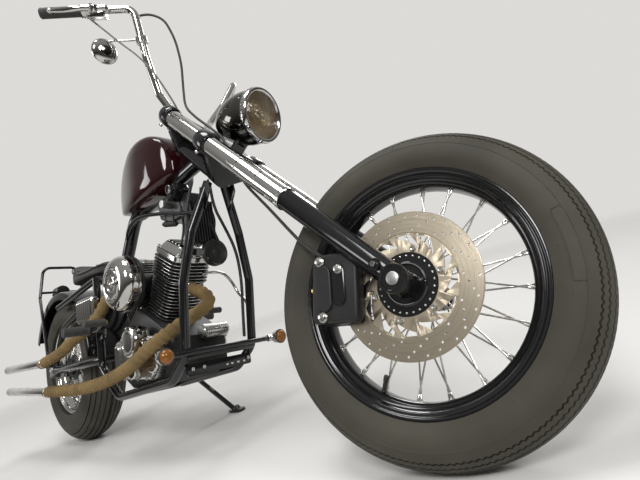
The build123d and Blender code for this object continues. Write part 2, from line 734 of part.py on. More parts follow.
def make_tank():
    """The narrow, tall fuel tank that straddles the backbone."""
    with BuildPart() as tank:
        for x, bottom, top, half in TANK_SECTIONS:
            with BuildSketch(Plane(origin=(x, 0, (bottom + top) / 2), x_dir=(0, 1, 0), z_dir=(1, 0, 0))):
                RectangleRounded(2 * half, top - bottom, min(half, (top - bottom) / 2) * 0.62)
        loft()
        add_disc(Plane(origin=HEAD_MIDDLE, z_dir=BACKBONE_BEND - HEAD_MIDDLE), TUNNEL_RADIUS, 700,
                 mode=Mode.SUBTRACT)
    return tank


def make_tank_cap(tank):
    """The filler cap on top of the tank."""
    with BuildPart() as cap:
        add_disc(Plane(origin=(850, 0, 1068), z_dir=(0, 0, 1)), 27, 36)
        add(tank.part, mode=Mode.SUBTRACT)
    return cap


def rail_top(x):
    """The height of the seat rails' upper side."""
    slope = (RAIL_FRONT[1] - RAIL_REAR[1]) / (RAIL_FRONT[0] - RAIL_REAR[0])
    return RAIL_REAR[1] + slope * (x - RAIL_REAR[0]) + RAIL_RADIUS * sqrt(1 + slope ** 2)


def make_seat(backbone):
    """The solo seat on its rails."""
    front = 490.0
    rear = 200.0
    nose = REAR_TOP + 70
    dip = REAR_TOP + 54
    tail = REAR_TOP + 118
    with BuildPart() as seat:
        with BuildSketch(side_plane(0, RAIL_Y, 0)) as outline:
            with BuildLine():
                Polyline((-front, nose), (-front, rail_top(front)), (-rear, rail_top(rear)),
                         (-rear + 22, tail - 18), (-rear - 14, tail))
                ThreePointArc((-rear - 14, tail), (-360, dip), (-front, nose))
            make_face()
        extrude(outline.sketch, amount=-220)
        fillet(seat.edges().filter_by(GeomType.CIRCLE), 16)
        add(backbone.part, mode=Mode.SUBTRACT)
    return seat


FENDER_HALF = 97.0


def make_fender():
    """The rear fender over the top of the rear tyre."""
    inner = REAR_TYRE_RADIUS + 20
    skin = 3.0
    wall = FENDER_HALF - skin
    with BuildPart() as fender:
        with BuildSketch(section_plane(rear_axle).rotated((0, -155, 0))):
            with BuildLine():
                Polyline((inner - 30, wall), (inner, wall - 4), (inner, 4 - wall), (inner - 30, -wall),
                         (inner - 30, -FENDER_HALF), (inner, -FENDER_HALF), (inner + skin, -FENDER_HALF + 4),
                         (inner + skin, FENDER_HALF - 4), (inner, FENDER_HALF), (inner - 30, FENDER_HALF),
                         close=True)
            make_face()
        revolve(axis=Axis(tuple(rear_axle), (0, 1, 0)), revolution_arc=150)
    return fender


def make_swingarm(side, neighbours):
    """One side of the rear fork: arm, stay and axle plate; the left one carries the final drive."""
    plate_y = side * AXLE_PLATE_Y
    arm_radius = 22 if side > 0 else 17
    lower = [Vector(PIVOT_X, side * 110, PIVOT_Z), Vector(330, side * 112, PIVOT_Z - 2),
             Vector(20, plate_y, rear_axle.Z)]
    stay = [Vector(10, plate_y, rear_axle.Z + 10), Vector(120, side * 113, REAR_TOP - 152),
            Vector(PIVOT_X, side * 112, REAR_TOP - 72)]
    with BuildPart() as arm:
        add_tube(lower, arm_radius, 100)
        add_tube(stay, 13, 80)
        with BuildSketch(side_plane(0, plate_y, rear_axle.Z)) as plate:
            RectangleRounded(110, 62, 18)
        extrude(plate.sketch, amount=6, both=True)
        if side > 0:
            add_disc(wheel_plane(rear_axle, REAR_HUB_LEFT + 6), 70, AXLE_PLATE_Y - REAR_HUB_LEFT - 12)
        add_disc(wheel_plane(rear_axle, side * AXLE_PLATE_Y - 40), AXLE_RADIUS, 80, mode=Mode.SUBTRACT)
        for neighbour in neighbours:
            add(neighbour.part, mode=Mode.SUBTRACT)
    return arm


def make_hoop(neighbours):
    """The thin hoop over the rear fender with the round tail lamp on its bar."""
    with BuildPart() as hoop:
        right = [Vector(-30, -135, rear_axle.Z + 19), Vector(-215, -104, REAR_TOP + 38),
                 Vector(-222, -80, REAR_TOP + 193)]
        left = [Vector(p.X, -p.Y, p.Z) for p in reversed(right)]
        add_tube(right + left, 7, 40)
        add_tube([Vector(-217, -98, REAR_TOP + 64), Vector(-217, 98, REAR_TOP + 64)], 6)
        add_disc(Plane(origin=(-210, 0, REAR_TOP + 64), z_dir=(-1, 0, 0)), 33, 48)
        for neighbour in neighbours:
            add(neighbour.part, mode=Mode.SUBTRACT)
    return hoop


def make_side_cover(neighbours):
    """The polished cover under the right end of the seat."""
    with BuildPart() as cover:
        with BuildSketch(side_plane(450, -120, 528)) as outline:
            RectangleRounded(170, 96, 26)
        extrude(outline.sketch, amount=-30)
        for neighbour in neighbours:
            add(neighbour.part, mode=Mode.SUBTRACT)
    return cover


def make_foot_controls(side, cradle):
    """A foot peg and its pedal on their bracket: the brake on the right, the gear change on the left.

    The peg's rubber starts outside the pedal's arm."""
    peg = Vector(655, side * 160, 435)
    rubber = Vector(655, side * 209, 435)
    pad = Vector(760, side * 194, 446)
    with BuildPart() as controls:
        add_tube([Vector(500, side * 112, 396), Vector(580, side * 130, 416), peg], 9, 40)
        add_disc(Plane(origin=peg, z_dir=(0, side, 0)), 13, 50)
        add_disc(Plane(origin=rubber, z_dir=(0, side, 0)), 15, 81)
        add_tube([peg + Vector(0, side * 34, -6), Vector(700, side * 196, 430), pad + Vector(0, side * 4, 0)],
                 7, 40)
        add_disc(Plane(origin=pad, z_dir=(0, side, 0)), 11, 68)
        add(cradle.part, mode=Mode.SUBTRACT)
    return controls


def make_stand():
    """The side stand's leg with its eye and its foot."""
    run = (STAND_FOOT - STAND_PIVOT).normalized()
    foot_up = Vector(0, -sin(radians(LEAN)), cos(radians(LEAN)))
    with BuildPart() as stand:
        add_disc(Plane(origin=STAND_PIVOT - STAND_AXIS * 5, z_dir=STAND_AXIS), 16, 10)
        add_tube([STAND_PIVOT + run * 14, STAND_FOOT - run * 14], 9)
        with BuildSketch(Plane(origin=STAND_FOOT, x_dir=(1, 0, 0), z_dir=foot_up)) as sole:
            SlotOverall(80, 40)
        extrude(sole.sketch, amount=12)
        with BuildSketch(Plane(origin=STAND_FOOT + foot_up * 12, x_dir=(1, 0, 0), z_dir=foot_up)) as ankle:
            Circle(15)
        extrude(ankle.sketch, amount=12, taper=20)
        add_disc(Plane(origin=STAND_PIVOT - STAND_AXIS * 8, z_dir=STAND_AXIS), STAND_PIN + FIT_CLEARANCE, 16,
                 mode=Mode.SUBTRACT)
    return stand


# Parking: the steered pieces turn to the stop, then the whole leans, and the front is let down onto its tyre
def wheel_low(centre, axle, radius, crown):
    """The lowest point of a tyre whose crown is an arc."""
    return centre.Z - (radius - crown) * sqrt(1 - axle.Z ** 2) - crown


def front_wheel_low(pitch):
    """The front tyre's lowest point over the rear tyre's, for a pitch in degrees."""
    steered = steer_foot + (front_axle - steer_foot).rotate(steering_axis, STEER_STOP)
    centre = steered.rotate(Axis.Y, pitch).rotate(Axis.X, -LEAN)
    axle = Vector(0, 1, 0).rotate(Axis((0, 0, 0), tuple(steer_up)), STEER_STOP).rotate(Axis.Y, pitch)
    axle = axle.rotate(Axis.X, -LEAN)
    rear_centre = rear_axle.rotate(Axis.Y, pitch).rotate(Axis.X, -LEAN)
    rear_dir = Vector(0, 1, 0).rotate(Axis.X, -LEAN)
    rear = wheel_low(rear_centre, rear_dir, REAR_TYRE_RADIUS, REAR_TYRE_WIDTH / 2)
    return wheel_low(centre, axle, FRONT_TYRE_RADIUS, FRONT_TYRE_WIDTH / 2) - rear, rear


low, high = -3.0, 3.0
for _ in range(40):
    middle = (low + high) / 2
    if front_wheel_low(middle)[0] > 0:
        low = middle
    else:
        high = middle
PITCH = (low + high) / 2
LIFT = -front_wheel_low(PITCH)[1]


def parked(shape, steered=False):
    """The shape in its parked place."""
    if steered:
        shape = shape.rotate(steering_axis, STEER_STOP)
    shape = shape.rotate(Axis.Y, PITCH).rotate(Axis.X, -LEAN)
    return shape.moved(Location((0, 0, LIFT)))


def solids(*pieces):
    """Like pieces that don't touch, as one shape."""
    return Compound([piece.part.solid() for piece in pieces])


front_hub = make_hub(front_axle, FRONT_WELL_RADIUS, 38, 34, -FRONT_HUB_RIGHT, FRONT_HUB_LEFT, 24, 10,
                     -FRONT_HUB_RIGHT)
rear_hub = make_hub(rear_axle, REAR_WELL_RADIUS, 56, 40, -REAR_HUB_RIGHT, REAR_HUB_LEFT, 34, 10)
leg_right = make_leg(-1)
leg_left = make_leg(1)
caliper = make_caliper(leg_right)
lamp_shell = make_headlamp_shell()

steered_pieces = {
    "front_tyre": make_tyre(front_axle, FRONT_TYRE_RADIUS, FRONT_TYRE_WIDTH, FRONT_RIM_RADIUS, FRONT_RIM_HALF,
                            FRONT_SEAT_RADIUS).part,
    "front_rim": make_rim(front_axle, FRONT_RIM_RADIUS, FRONT_RIM_HALF, FRONT_SEAT_RADIUS,
                          FRONT_WELL_RADIUS).part,
    "front_hub_spokes": front_hub.part,
    "brake_disc": make_disc().part,
    "front_axle": make_front_axle().part,
    "fork_legs": solids(leg_right, leg_left),
    "fork_tubes": solids(make_fork_tube(-1), make_fork_tube(1)),
    "lower_clamp": make_lower_clamp(lamp_shell).part,
    "upper_clamp": make_clamp(UPPER_CLAMP, UPPER_CLAMP_HEIGHT, 34).part,
    "handlebar": make_handlebar().part,
    "grips": solids(make_grip(-1), make_grip(1)),
    "levers": solids(make_lever(-1), make_lever(1)),
    "mirror": make_mirror().part,
    "headlamp_shell": lamp_shell.part,
    "headlamp_lens": make_headlamp_lens().part,
    "brake_caliper": caliper.part,
    "brake_hose": make_cable(BRAKE_HOSE, HOSE_RADIUS, (caliper,)).part,
    "throttle_cable": make_cable(THROTTLE_CABLE, CABLE_RADIUS).part,
}

backbone = make_backbone()
cradle_right = make_cradle(-1, backbone)
cradle_left = make_cradle(1, backbone)
rear_axle_bar = make_rear_axle()
swingarm_right = make_swingarm(-1, (cradle_right, rear_axle_bar))
swingarm_left = make_swingarm(1, (cradle_left, rear_axle_bar))
cross_tubes = make_cross_tubes((backbone, cradle_right, cradle_left, swingarm_right, swingarm_left))
exhaust_front = make_exhaust(FRONT_PIPE, FRONT_TIP_END)
exhaust_rear = make_exhaust(REAR_PIPE, REAR_TIP_END)
cylinders = make_cylinders((exhaust_front, exhaust_rear))
crankcase = make_crankcase(cross_tubes)
tank = make_tank()

fixed_pieces = {
    "backbone": backbone.part,
    "cradle_right": cradle_right.part,
    "cradle_left": cradle_left.part,
    "cross_tubes": cross_tubes.part,
    "indicators": make_indicators(cross_tubes).part,
    "crankcase": crankcase.part,
    "engine_covers": solids(make_engine_cover(-1), make_engine_cover(1)),
    "cylinders": cylinders.part,
    "rocker_covers": make_rocker_covers().part,
    "air_cleaner": make_air_cleaner(cylinders).part,
    "oil_filter": make_oil_filter(crankcase).part,
    "horn": make_horn((backbone, cradle_left)).part,
    "exhausts": solids(exhaust_front, exhaust_rear),
    "tank": tank.part,
    "tank_cap": make_tank_cap(tank).part,
    "seat": make_seat(backbone).part,
    "rear_fender": make_fender().part,
    "swingarm": solids(swingarm_right, swingarm_left),
    "hoop": make_hoop((swingarm_right, swingarm_left)).part,
    "side_cover": make_side_cover((cradle_right, swingarm_right)).part,
    "foot_controls_right": make_foot_controls(-1, cradle_right).part,
    "foot_controls_left": make_foot_controls(1, cradle_left).part,
    "rear_axle": rear_axle_bar.part,
    "rear_tyre": make_tyre(rear_axle, REAR_TYRE_RADIUS, REAR_TYRE_WIDTH, REAR_RIM_RADIUS, REAR_RIM_HALF,
                           REAR_SEAT_RADIUS).part,
    "rear_rim": make_rim(rear_axle, REAR_RIM_RADIUS, REAR_RIM_HALF, REAR_SEAT_RADIUS, REAR_WELL_RADIUS).part,
    "rear_hub_spokes": rear_hub.part,
    "side_stand": make_stand().part,
}

placed = {name: parked(shape, True) for name, shape in steered_pieces.items()}
placed.update({name: parked(shape) for name, shape in fixed_pieces.items()})

os.makedirs("parts", exist_ok=True)
boxes = [shape.bounding_box() for shape in placed.values()]
SHIFT = Vector(-(min(b.min.X for b in boxes) + max(b.max.X for b in boxes)) / 2,
               -(min(b.min.Y for b in boxes) + max(b.max.Y for b in boxes)) / 2, 0)
for name, shape in placed.items():
    shape = shape.moved(Location(SHIFT))
    shape.label = name
    export_step(shape, f"parts/{name}.step")
print("pitch", round(PITCH, 3), "lift", round(LIFT, 3), "shift", SHIFT)
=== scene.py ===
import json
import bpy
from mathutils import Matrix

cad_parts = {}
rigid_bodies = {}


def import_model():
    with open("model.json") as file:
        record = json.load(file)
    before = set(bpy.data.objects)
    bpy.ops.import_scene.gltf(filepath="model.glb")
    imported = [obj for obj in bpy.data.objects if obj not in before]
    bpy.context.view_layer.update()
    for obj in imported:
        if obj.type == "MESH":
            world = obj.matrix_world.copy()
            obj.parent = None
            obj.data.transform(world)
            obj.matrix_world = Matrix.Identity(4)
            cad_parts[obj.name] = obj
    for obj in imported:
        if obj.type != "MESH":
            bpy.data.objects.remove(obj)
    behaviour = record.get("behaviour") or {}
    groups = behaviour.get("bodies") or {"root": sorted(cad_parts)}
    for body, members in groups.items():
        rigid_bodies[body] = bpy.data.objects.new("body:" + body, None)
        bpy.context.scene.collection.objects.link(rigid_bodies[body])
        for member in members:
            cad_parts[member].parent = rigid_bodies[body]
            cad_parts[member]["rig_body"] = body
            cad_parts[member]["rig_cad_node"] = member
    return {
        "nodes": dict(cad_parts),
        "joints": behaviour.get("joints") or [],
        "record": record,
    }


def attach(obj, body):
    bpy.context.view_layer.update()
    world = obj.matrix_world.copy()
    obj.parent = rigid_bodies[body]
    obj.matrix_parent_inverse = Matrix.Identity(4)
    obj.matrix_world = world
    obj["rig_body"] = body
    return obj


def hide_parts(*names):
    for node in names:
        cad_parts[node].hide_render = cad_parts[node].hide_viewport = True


bl_info = {
    "name": "Chopper motorcycle",
    "version": (1, 0, 0),
    "blender": (4, 5, 0),
    "location": "3D View > Sidebar > Chopper",
    "description": "Models the pieces and finishes of a long-fork chopper round its packed frame",
    "category": "Object",
}

from math import atan2, cos, pi, radians, sin, sqrt

import bmesh
import bpy
from mathutils import Matrix, Vector

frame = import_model()
NODES = frame["nodes"]
JOINTS = {joint["name"]: joint for joint in frame["joints"]}
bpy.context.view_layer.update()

# The pieces are drawn as the frame is: upright, in millimetres, X forward from the rear axle,
# Y to the left and Z up. The placing matrices below take them to the parked motorcycle in metres.
MM = 0.001
FRONT_AXLE = Vector((1823, 0, 345))
REAR_AXLE = Vector((0, 0, 326))
RAKE = radians(46.3)
FORK_OFFSET = 64.7
STEER_UP = Vector((-sin(RAKE), 0, cos(RAKE)))
STEER_FRONT = Vector((cos(RAKE), 0, sin(RAKE)))
LEFT = Vector((0, 1, 0))
RIGHT = Vector((0, -1, 0))
BACKWARD = Vector((-1, 0, 0))
FORWARD = Vector((1, 0, 0))
UP = Vector((0, 0, 1))
HERE = Matrix.Identity(4)
SIDES = ((-1, "right"), (1, "left"))
# Distance of each fork leg from the middle
LEG = 101.5


def placing():
    """The matrices that park a piece of the chassis and a piece that steers, and the lean by itself."""
    axle = Vector(JOINTS["rear_wheel_spin"]["axis"])
    lean = Matrix.Rotation(-atan2(-axle.z, axle.y), 4, "X")
    steering = lean.inverted() @ Vector(JOINTS["steering"]["axis"])
    pitch = Matrix.Rotation(RAKE - atan2(-steering.x, steering.z), 4, "Y")
    parked = (Matrix.Translation(JOINTS["rear_wheel_spin"]["pos_m"]) @ lean @ pitch
              @ Matrix.Scale(MM, 4) @ Matrix.Translation(-REAR_AXLE))
    steer_stop = -radians(JOINTS["steering"]["range_deg"][0]) / 2
    foot = FRONT_AXLE - STEER_FRONT * FORK_OFFSET
    turned = Matrix.Translation(foot) @ Matrix.Rotation(steer_stop, 4, STEER_UP) @ Matrix.Translation(-foot)
    return parked, parked @ turned, lean


PARKED, STEERED, LEANED = placing()
PLACES = {"chassis": PARKED, "rear_wheel": PARKED, "side_stand": PARKED, "steering": STEERED,
          "front_wheel": STEERED}


def aim(origin, up, ahead=None):
    """A place whose local Z points up and whose local X leans to ahead."""
    z = Vector(up).normalized()
    x = Vector(ahead) if ahead else z.orthogonal()
    x = (x - z * x.dot(z)).normalized()
    place = Matrix((x, z.cross(x), z)).transposed().to_4x4()
    place.translation = origin
    return place


def fork_point(along, across=0, ahead=0):
    """A point near the fork: along the legs from the axle, across to the left, ahead of the legs."""
    return FRONT_AXLE + STEER_UP * along + LEFT * across + STEER_FRONT * ahead


def fork_place(along, across=0, ahead=0):
    """A place near the fork, with its local Z up the legs and its local X to the front."""
    return aim(fork_point(along, across, ahead), STEER_UP, STEER_FRONT)


def axle_place(centre, left=0):
    """A place on a wheel's axle, with its local Z to the left and its local X forward."""
    return aim(centre + LEFT * left, LEFT, FORWARD)


def turned(place, angle, radius=0.0):
    """A place turned about its local Z and then moved out along its local X."""
    return place @ Matrix.Rotation(angle, 4, "Z") @ Matrix.Translation((radius, 0, 0))


# Modelling steps
def deselect():
    bpy.ops.object.select_all(action="DESELECT")


def pick(piece):
    """Makes a piece the only one that is selected."""
    deselect()
    piece.select_set(True)
    bpy.context.view_layer.objects.active = piece


def draw(points):
    """Extrudes one vertex along the points, and stays in edit mode with the last one selected."""
    deselect()
    bpy.ops.mesh.primitive_plane_add(size=1)
    bpy.ops.object.mode_set(mode="EDIT")
    bpy.ops.mesh.merge(type="CENTER")
    bpy.ops.transform.translate(value=points[0])
    for before, after in zip(points, points[1:]):
        step = Vector(after) - Vector(before)
        bpy.ops.mesh.extrude_vertices_move(TRANSFORM_OT_translate={"value": step})


def filled(points):
    """Draws an outline and closes it with a face, in edit mode."""
    draw(points)
    bpy.ops.mesh.select_all(action="SELECT")
    bpy.ops.mesh.edge_face_add()


def close_mesh(gap=0.01, smooth=35.0):
    """Merges doubles, turns the faces outwards, leaves edit mode and smooths by angle."""
    bpy.ops.mesh.select_all(action="SELECT")
    bpy.ops.mesh.remove_doubles(threshold=gap)
    bpy.ops.mesh.normals_make_consistent(inside=False)
    bpy.ops.object.mode_set(mode="OBJECT")
    bpy.ops.object.shade_smooth_by_angle(angle=radians(smooth))
    return bpy.context.object


def lathe(profile, steps=48, closed=False, smooth=35.0):
    """Spins a profile of (radius, height) points about local Z."""
    points = [(radius, 0, height) for radius, height in profile]
    draw(points + points[:1] if closed else points)
    bpy.ops.mesh.select_all(action="SELECT")
    bpy.ops.mesh.spin(steps=steps, angle=2 * pi, center=(0, 0, 0), axis=(0, 0, 1))
    return close_mesh(smooth=smooth)


def slab(outline, bottom, top, edge=0.0, smooth=35.0):
    """Extrudes an outline of (x, y) points from the bottom to the top, with rounded edges."""
    filled([(x, y, bottom) for x, y in outline])
    bpy.ops.mesh.extrude_region_move(TRANSFORM_OT_translate={"value": (0, 0, top - bottom)})
    piece = close_mesh(smooth=smooth)
    if edge:
        rounded(piece, edge)
    return piece


def rounded(piece, width, segments=2, angle=40.0):
    """Rounds the sharp edges of a piece."""
    pick(piece)
    bevel = piece.modifiers.new("edge", "BEVEL")
    bevel.width = width
    bevel.segments = segments
    bevel.limit_method = "ANGLE"
    bevel.angle_limit = radians(angle)
    bpy.ops.object.modifier_apply(modifier=bevel.name)
    bpy.ops.object.shade_smooth_by_angle(angle=radians(35))
    return piece


def line_near(points, resolution):
    """A smooth line near the points, as a curve."""
    deselect()
    bpy.ops.curve.primitive_nurbs_path_add()
    line = bpy.context.object
    line.data.splines.clear()
    spline = line.data.splines.new("NURBS" if len(points) > 2 else "POLY")
    spline.points.add(len(points) - 1)
    for knot, point in zip(spline.points, points):
        knot.co = (*point, 1)
    if len(points) > 2:
        spline.order_u = 3
        spline.use_endpoint_u = True
        spline.resolution_u = resolution
    return line


def rod(points, radius, resolution=8):
    """A round bar along a smooth line near the points."""
    piece = line_near(points, 10)
    piece.data.bevel_depth = radius
    piece.data.bevel_resolution = resolution // 2
    piece.data.use_fill_caps = True
    pick(piece)
    bpy.ops.object.convert(target="MESH")
    bpy.ops.object.shade_smooth_by_angle(angle=radians(40))
    return bpy.context.object


def copy_at(piece, place):
    """A copy of a piece, with its own mesh, at a place."""
    twin = piece.copy()
    twin.data = piece.data.copy()
    bpy.context.scene.collection.objects.link(twin)
    twin.matrix_world = place @ piece.matrix_world
    return twin


def join(pieces):
    """Joins pieces into the first one."""
    bpy.context.view_layer.update()
    deselect()
    for piece in pieces:
        piece.select_set(True)
    bpy.context.view_layer.objects.active = pieces[0]
    if len(pieces) > 1:
        bpy.ops.object.join()
    piece = bpy.context.object
    pick(piece)
    bpy.ops.object.transform_apply(location=True, rotation=True, scale=True)
    return piece


def spread(piece, places):
    """The piece once at each place, joined, in place of the first one."""
    copies = [copy_at(piece, place) for place in places]
    bpy.data.objects.remove(piece)
    return join(copies)


def row(piece, spots):
    """The piece once at each spot, joined."""
    return spread(piece, [Matrix.Translation(spot) for spot in spots])


def ribbed(count, start, pitch, points):
    """The points of like ribs on a profile: each is given as (radius, height) from its own rib's start."""
    return [(radius, start + index * pitch + height) for index in range(count) for radius, height in points]


def round_copies(piece, count, radius=0.0, start=0.0):
    """Copies of a piece at even angles about local Z."""
    return spread(piece, [turned(HERE, start + 2 * pi * index / count, radius) for index in range(count)])


def cut(piece, cutter):
    """Cuts a closed piece away from another."""
    pick(piece)
    hole = piece.modifiers.new("cut", "BOOLEAN")
    hole.operation = "DIFFERENCE"
    hole.solver = "EXACT"
    hole.object = cutter
    bpy.ops.object.modifier_apply(modifier=hole.name)
    bpy.data.objects.remove(cutter)
    return piece


def settle(piece, name, place, finish, body, *stands_for, slot=None):
    """Puts a piece at its place on its body, with its finish and the nodes that it stands for."""
    piece.name = name
    piece.data.name = name
    piece.matrix_world = PLACES[body] @ place @ piece.matrix_world
    pick(piece)
    bpy.ops.object.transform_apply(location=True, rotation=True, scale=True)
    piece.data.materials.clear()
    piece.data.materials.append(finished(finish))
    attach(piece, body)
    if stands_for:
        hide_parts(*stands_for)
    return piece


def refined(node, finish, edge=2.0):
    """A copy of a CAD node with merged faces and rounded edges, which stands for the node."""
    source = NODES[node]
    twin = source.copy()
    twin.data = source.data.copy()
    twin.parent = None
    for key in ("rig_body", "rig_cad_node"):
        if key in twin:
            del twin[key]
    bpy.context.scene.collection.objects.link(twin)
    twin.matrix_world = HERE
    pick(twin)
    bpy.ops.object.mode_set(mode="EDIT")
    bpy.ops.mesh.select_all(action="SELECT")
    bpy.ops.mesh.remove_doubles(threshold=0.00002)
    bpy.ops.mesh.dissolve_limited(angle_limit=radians(0.5))
    bpy.ops.object.mode_set(mode="OBJECT")
    rounded(twin, edge * MM)
    twin.name = node + "_finished"
    twin.data.name = twin.name
    twin.data.materials.clear()
    twin.data.materials.append(finished(finish))
    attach(twin, source["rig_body"])
    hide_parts(node)
    return twin


# Finishes
class Wire:
    """A socket of a finish, whose arithmetic adds Math nodes."""

    def __init__(self, coat, socket):
        self.coat = coat
        self.socket = socket

    def maths(self, operation, *values):
        return self.coat.node("ShaderNodeMath", {"operation": operation}, dict(enumerate(values)))

    def __add__(self, other):
        return self.maths("ADD", self, other)

    def __radd__(self, other):
        return self.maths("ADD", other, self)

    def __sub__(self, other):
        return self.maths("SUBTRACT", self, other)

    def __rsub__(self, other):
        return self.maths("SUBTRACT", other, self)

    def __mul__(self, other):
        return self.maths("MULTIPLY", self, other)

    def __rmul__(self, other):
        return self.maths("MULTIPLY", other, self)

    def sine(self):
        return self.maths("SINE", self)

    def ramp(self, start, end):
        """0 at the start and 1 at the end."""
        settings = {"interpolation_type": "SMOOTHSTEP"}
        return self.coat.node("ShaderNodeMapRange", settings, {0: self, 1: start, 2: end})


class Nodes:
    """The nodes of a finish or of the sky."""

    def __init__(self, holder):
        holder.use_nodes = True
        self.tree = holder.node_tree

    def node(self, kind, settings, inputs, output=0):
        """Adds a node, sets it, then gives its sockets their values or links."""
        made = self.tree.nodes.new(kind)
        for key, value in settings.items():
            setattr(made, key, value)
        for key, value in inputs.items():
            self.plug(made.inputs[key], value)
        return Wire(self, made.outputs[output])

    def plug(self, socket, value):
        if isinstance(value, Wire):
            self.tree.links.new(value.socket, socket)
        else:
            socket.default_value = value

    def tint(self, share, first, second):
        """A colour between two, or between a socket's colour and another."""
        first, second = [(*c, 1.0) if isinstance(c, (tuple, list)) else c for c in (first, second)]
        inputs = {0: share, 6: first, 7: second}
        return self.node("ShaderNodeMix", {"data_type": "RGBA"}, inputs, 2)


class Coat(Nodes):
    """A finish that is being made: one Principled shader and the nodes that feed it."""

    def __init__(self, name):
        self.material = bpy.data.materials.new(name)
        super().__init__(self.material)
        self.shader = self.tree.nodes["Principled BSDF"]

    def shade(self, inputs):
        """Sets the shader's own sockets."""
        for key, value in inputs.items():
            self.plug(self.shader.inputs[key], value)
        return self.material

    def where(self, place=None):
        """Object coordinates in metres, or in a place's own axes."""
        spot = self.node("ShaderNodeTexCoord", {}, {}, "Object")
        if place is None:
            return spot
        inputs = {"Vector": spot, "Location": place.to_translation(), "Rotation": place.to_euler()}
        return self.node("ShaderNodeMapping", {"vector_type": "TEXTURE"}, inputs)

    def noise(self, scale, detail=3.0, stretch=None):
        """Cloudy values from 0 to 1, whose size is about one metre over the scale."""
        spot = self.where()
        if stretch:
            spot = self.node("ShaderNodeVectorMath", {"operation": "MULTIPLY"}, {0: spot, 1: stretch})
        return self.node("ShaderNodeTexNoise", {}, {"Vector": spot, "Scale": scale, "Detail": detail})

    def cells(self, scale, feature="F1"):
        """Distances to the middles or the edges of random cells."""
        inputs = {"Vector": self.where(), "Scale": scale}
        return self.node("ShaderNodeTexVoronoi", {"feature": feature}, inputs, "Distance")

    def bump(self, height, strength, depth):
        """A normal that follows a height; depth is in metres."""
        inputs = {"Height": height, "Strength": strength, "Distance": depth}
        return self.node("ShaderNodeBump", {}, inputs)


def darker(colour, share):
    return tuple(part * share for part in colour)


def tyre_rubber(coat, colours):
    """Matt tyre rubber with dusty patches and a fine grain."""
    base = tuple(colours.rubber)
    patches = coat.noise(7, detail=4).ramp(0.3, 0.7)
    grain = coat.noise(1500, detail=2)
    return coat.shade({
        "Base Color": coat.tint(patches, darker(base, 0.82), darker(base, 1.18)),
        "Roughness": grain * 0.16 + 0.58,
        "Specular IOR Level": 0.35,
        "Normal": coat.bump(grain, 0.25, 0.0003),
    })


def gloss_black(coat, colours):
    """Deep gloss enamel with a trace of orange peel and fine dust."""
    dust = coat.noise(900, detail=2).ramp(0.62, 0.8)
    return coat.shade({
        "Base Color": coat.tint(dust, tuple(colours.enamel), (0.02, 0.0195, 0.018)),
        "Roughness": coat.noise(35) * 0.08 + 0.08,
        "Normal": coat.bump(coat.noise(260), 0.05, 0.0004),
    })


def satin_black(coat, colours):
    """Satin enamel with the fine texture of powder coating."""
    texture = coat.noise(1800, detail=2)
    return coat.shade({
        "Base Color": coat.tint(coat.noise(60), darker(tuple(colours.enamel), 1.6), (0.024, 0.0235, 0.022)),
        "Roughness": texture * 0.15 + 0.34,
        "Specular IOR Level": 0.3,
        "Normal": coat.bump(texture, 0.2, 0.0003),
    })


def bright_metal(coat, colour, rough, spread_of, wear=0.12):
    """Plated or polished metal with wiped smudges and hairline marks."""
    smudge = coat.noise(18, detail=5).ramp(0.35, 0.75)
    lines = coat.noise(300, detail=2, stretch=(1.0, 0.06, 1.0))
    return coat.shade({
        "Base Color": coat.tint(smudge, colour, darker(colour, 1 - wear)),
        "Metallic": 1.0,
        "Roughness": smudge * spread_of + lines * (spread_of * 0.6) + rough,
        "Normal": coat.bump(lines, 0.04, 0.0001),
    })


def chrome(coat, colours):
    """Bright chromium plate."""
    return bright_metal(coat, tuple(colours.chrome), 0.03, 0.06)


def dark_chrome(coat, colours):
    """Black chromium plate."""
    return bright_metal(coat, (0.11, 0.107, 0.1), 0.05, 0.06)


def polished_steel(coat, colours):
    """Polished stainless steel."""
    return bright_metal(coat, (0.66, 0.65, 0.62), 0.14, 0.14)


def plated_steel(coat, colours):
    """Zinc plated steel with dull patches."""
    return bright_metal(coat, (0.5, 0.5, 0.49), 0.26, 0.2)


def polished_alloy(coat, colours):
    """Hand-polished aluminium."""
    return bright_metal(coat, (0.72, 0.71, 0.69), 0.16, 0.16)


def lamp_flutes(coat):
    """Upright flutes across the headlamp."""
    place = STEERED @ aim(LAMP_CENTRE, LAMP_AXIS, (0, 1, 0))
    spot = coat.where(Matrix.LocRotScale(place.to_translation(), place.to_quaternion(), None))
    across = coat.node("ShaderNodeSeparateXYZ", {}, {0: spot})
    return (across * 1100).sine()


def reflector(coat, colours):
    """Vacuum plated mirror with pressed facets."""
    return coat.shade({
        "Base Color": coat.tint(coat.noise(30), (0.85, 0.75, 0.58), (0.72, 0.62, 0.46)),
        "Metallic": 1.0,
        "Roughness": coat.noise(40) * 0.1 + 0.42,
        "Normal": coat.bump(lamp_flutes(coat), 0.5, 0.001),
    })


def bulb_glass(coat, colours):
    """A frosted bulb."""
    frost = coat.noise(300)
    return coat.shade({
        "Base Color": coat.tint(frost, (0.9, 0.86, 0.78), (0.8, 0.74, 0.64)),
        "Roughness": frost * 0.15 + 0.1,
        "Normal": coat.bump(frost, 0.05, 0.0002),
    })


def brass(coat, colours):
    """Yellow plated fitting."""
    return bright_metal(coat, (0.7, 0.48, 0.2), 0.18, 0.15)


def disc_spot(coat):
    """Coordinates about the front wheel's axle: across the disc and along its axle."""
    place = STEERED @ axle_place(FRONT_AXLE)
    return coat.where(Matrix.LocRotScale(place.to_translation(), place.to_quaternion(), None))


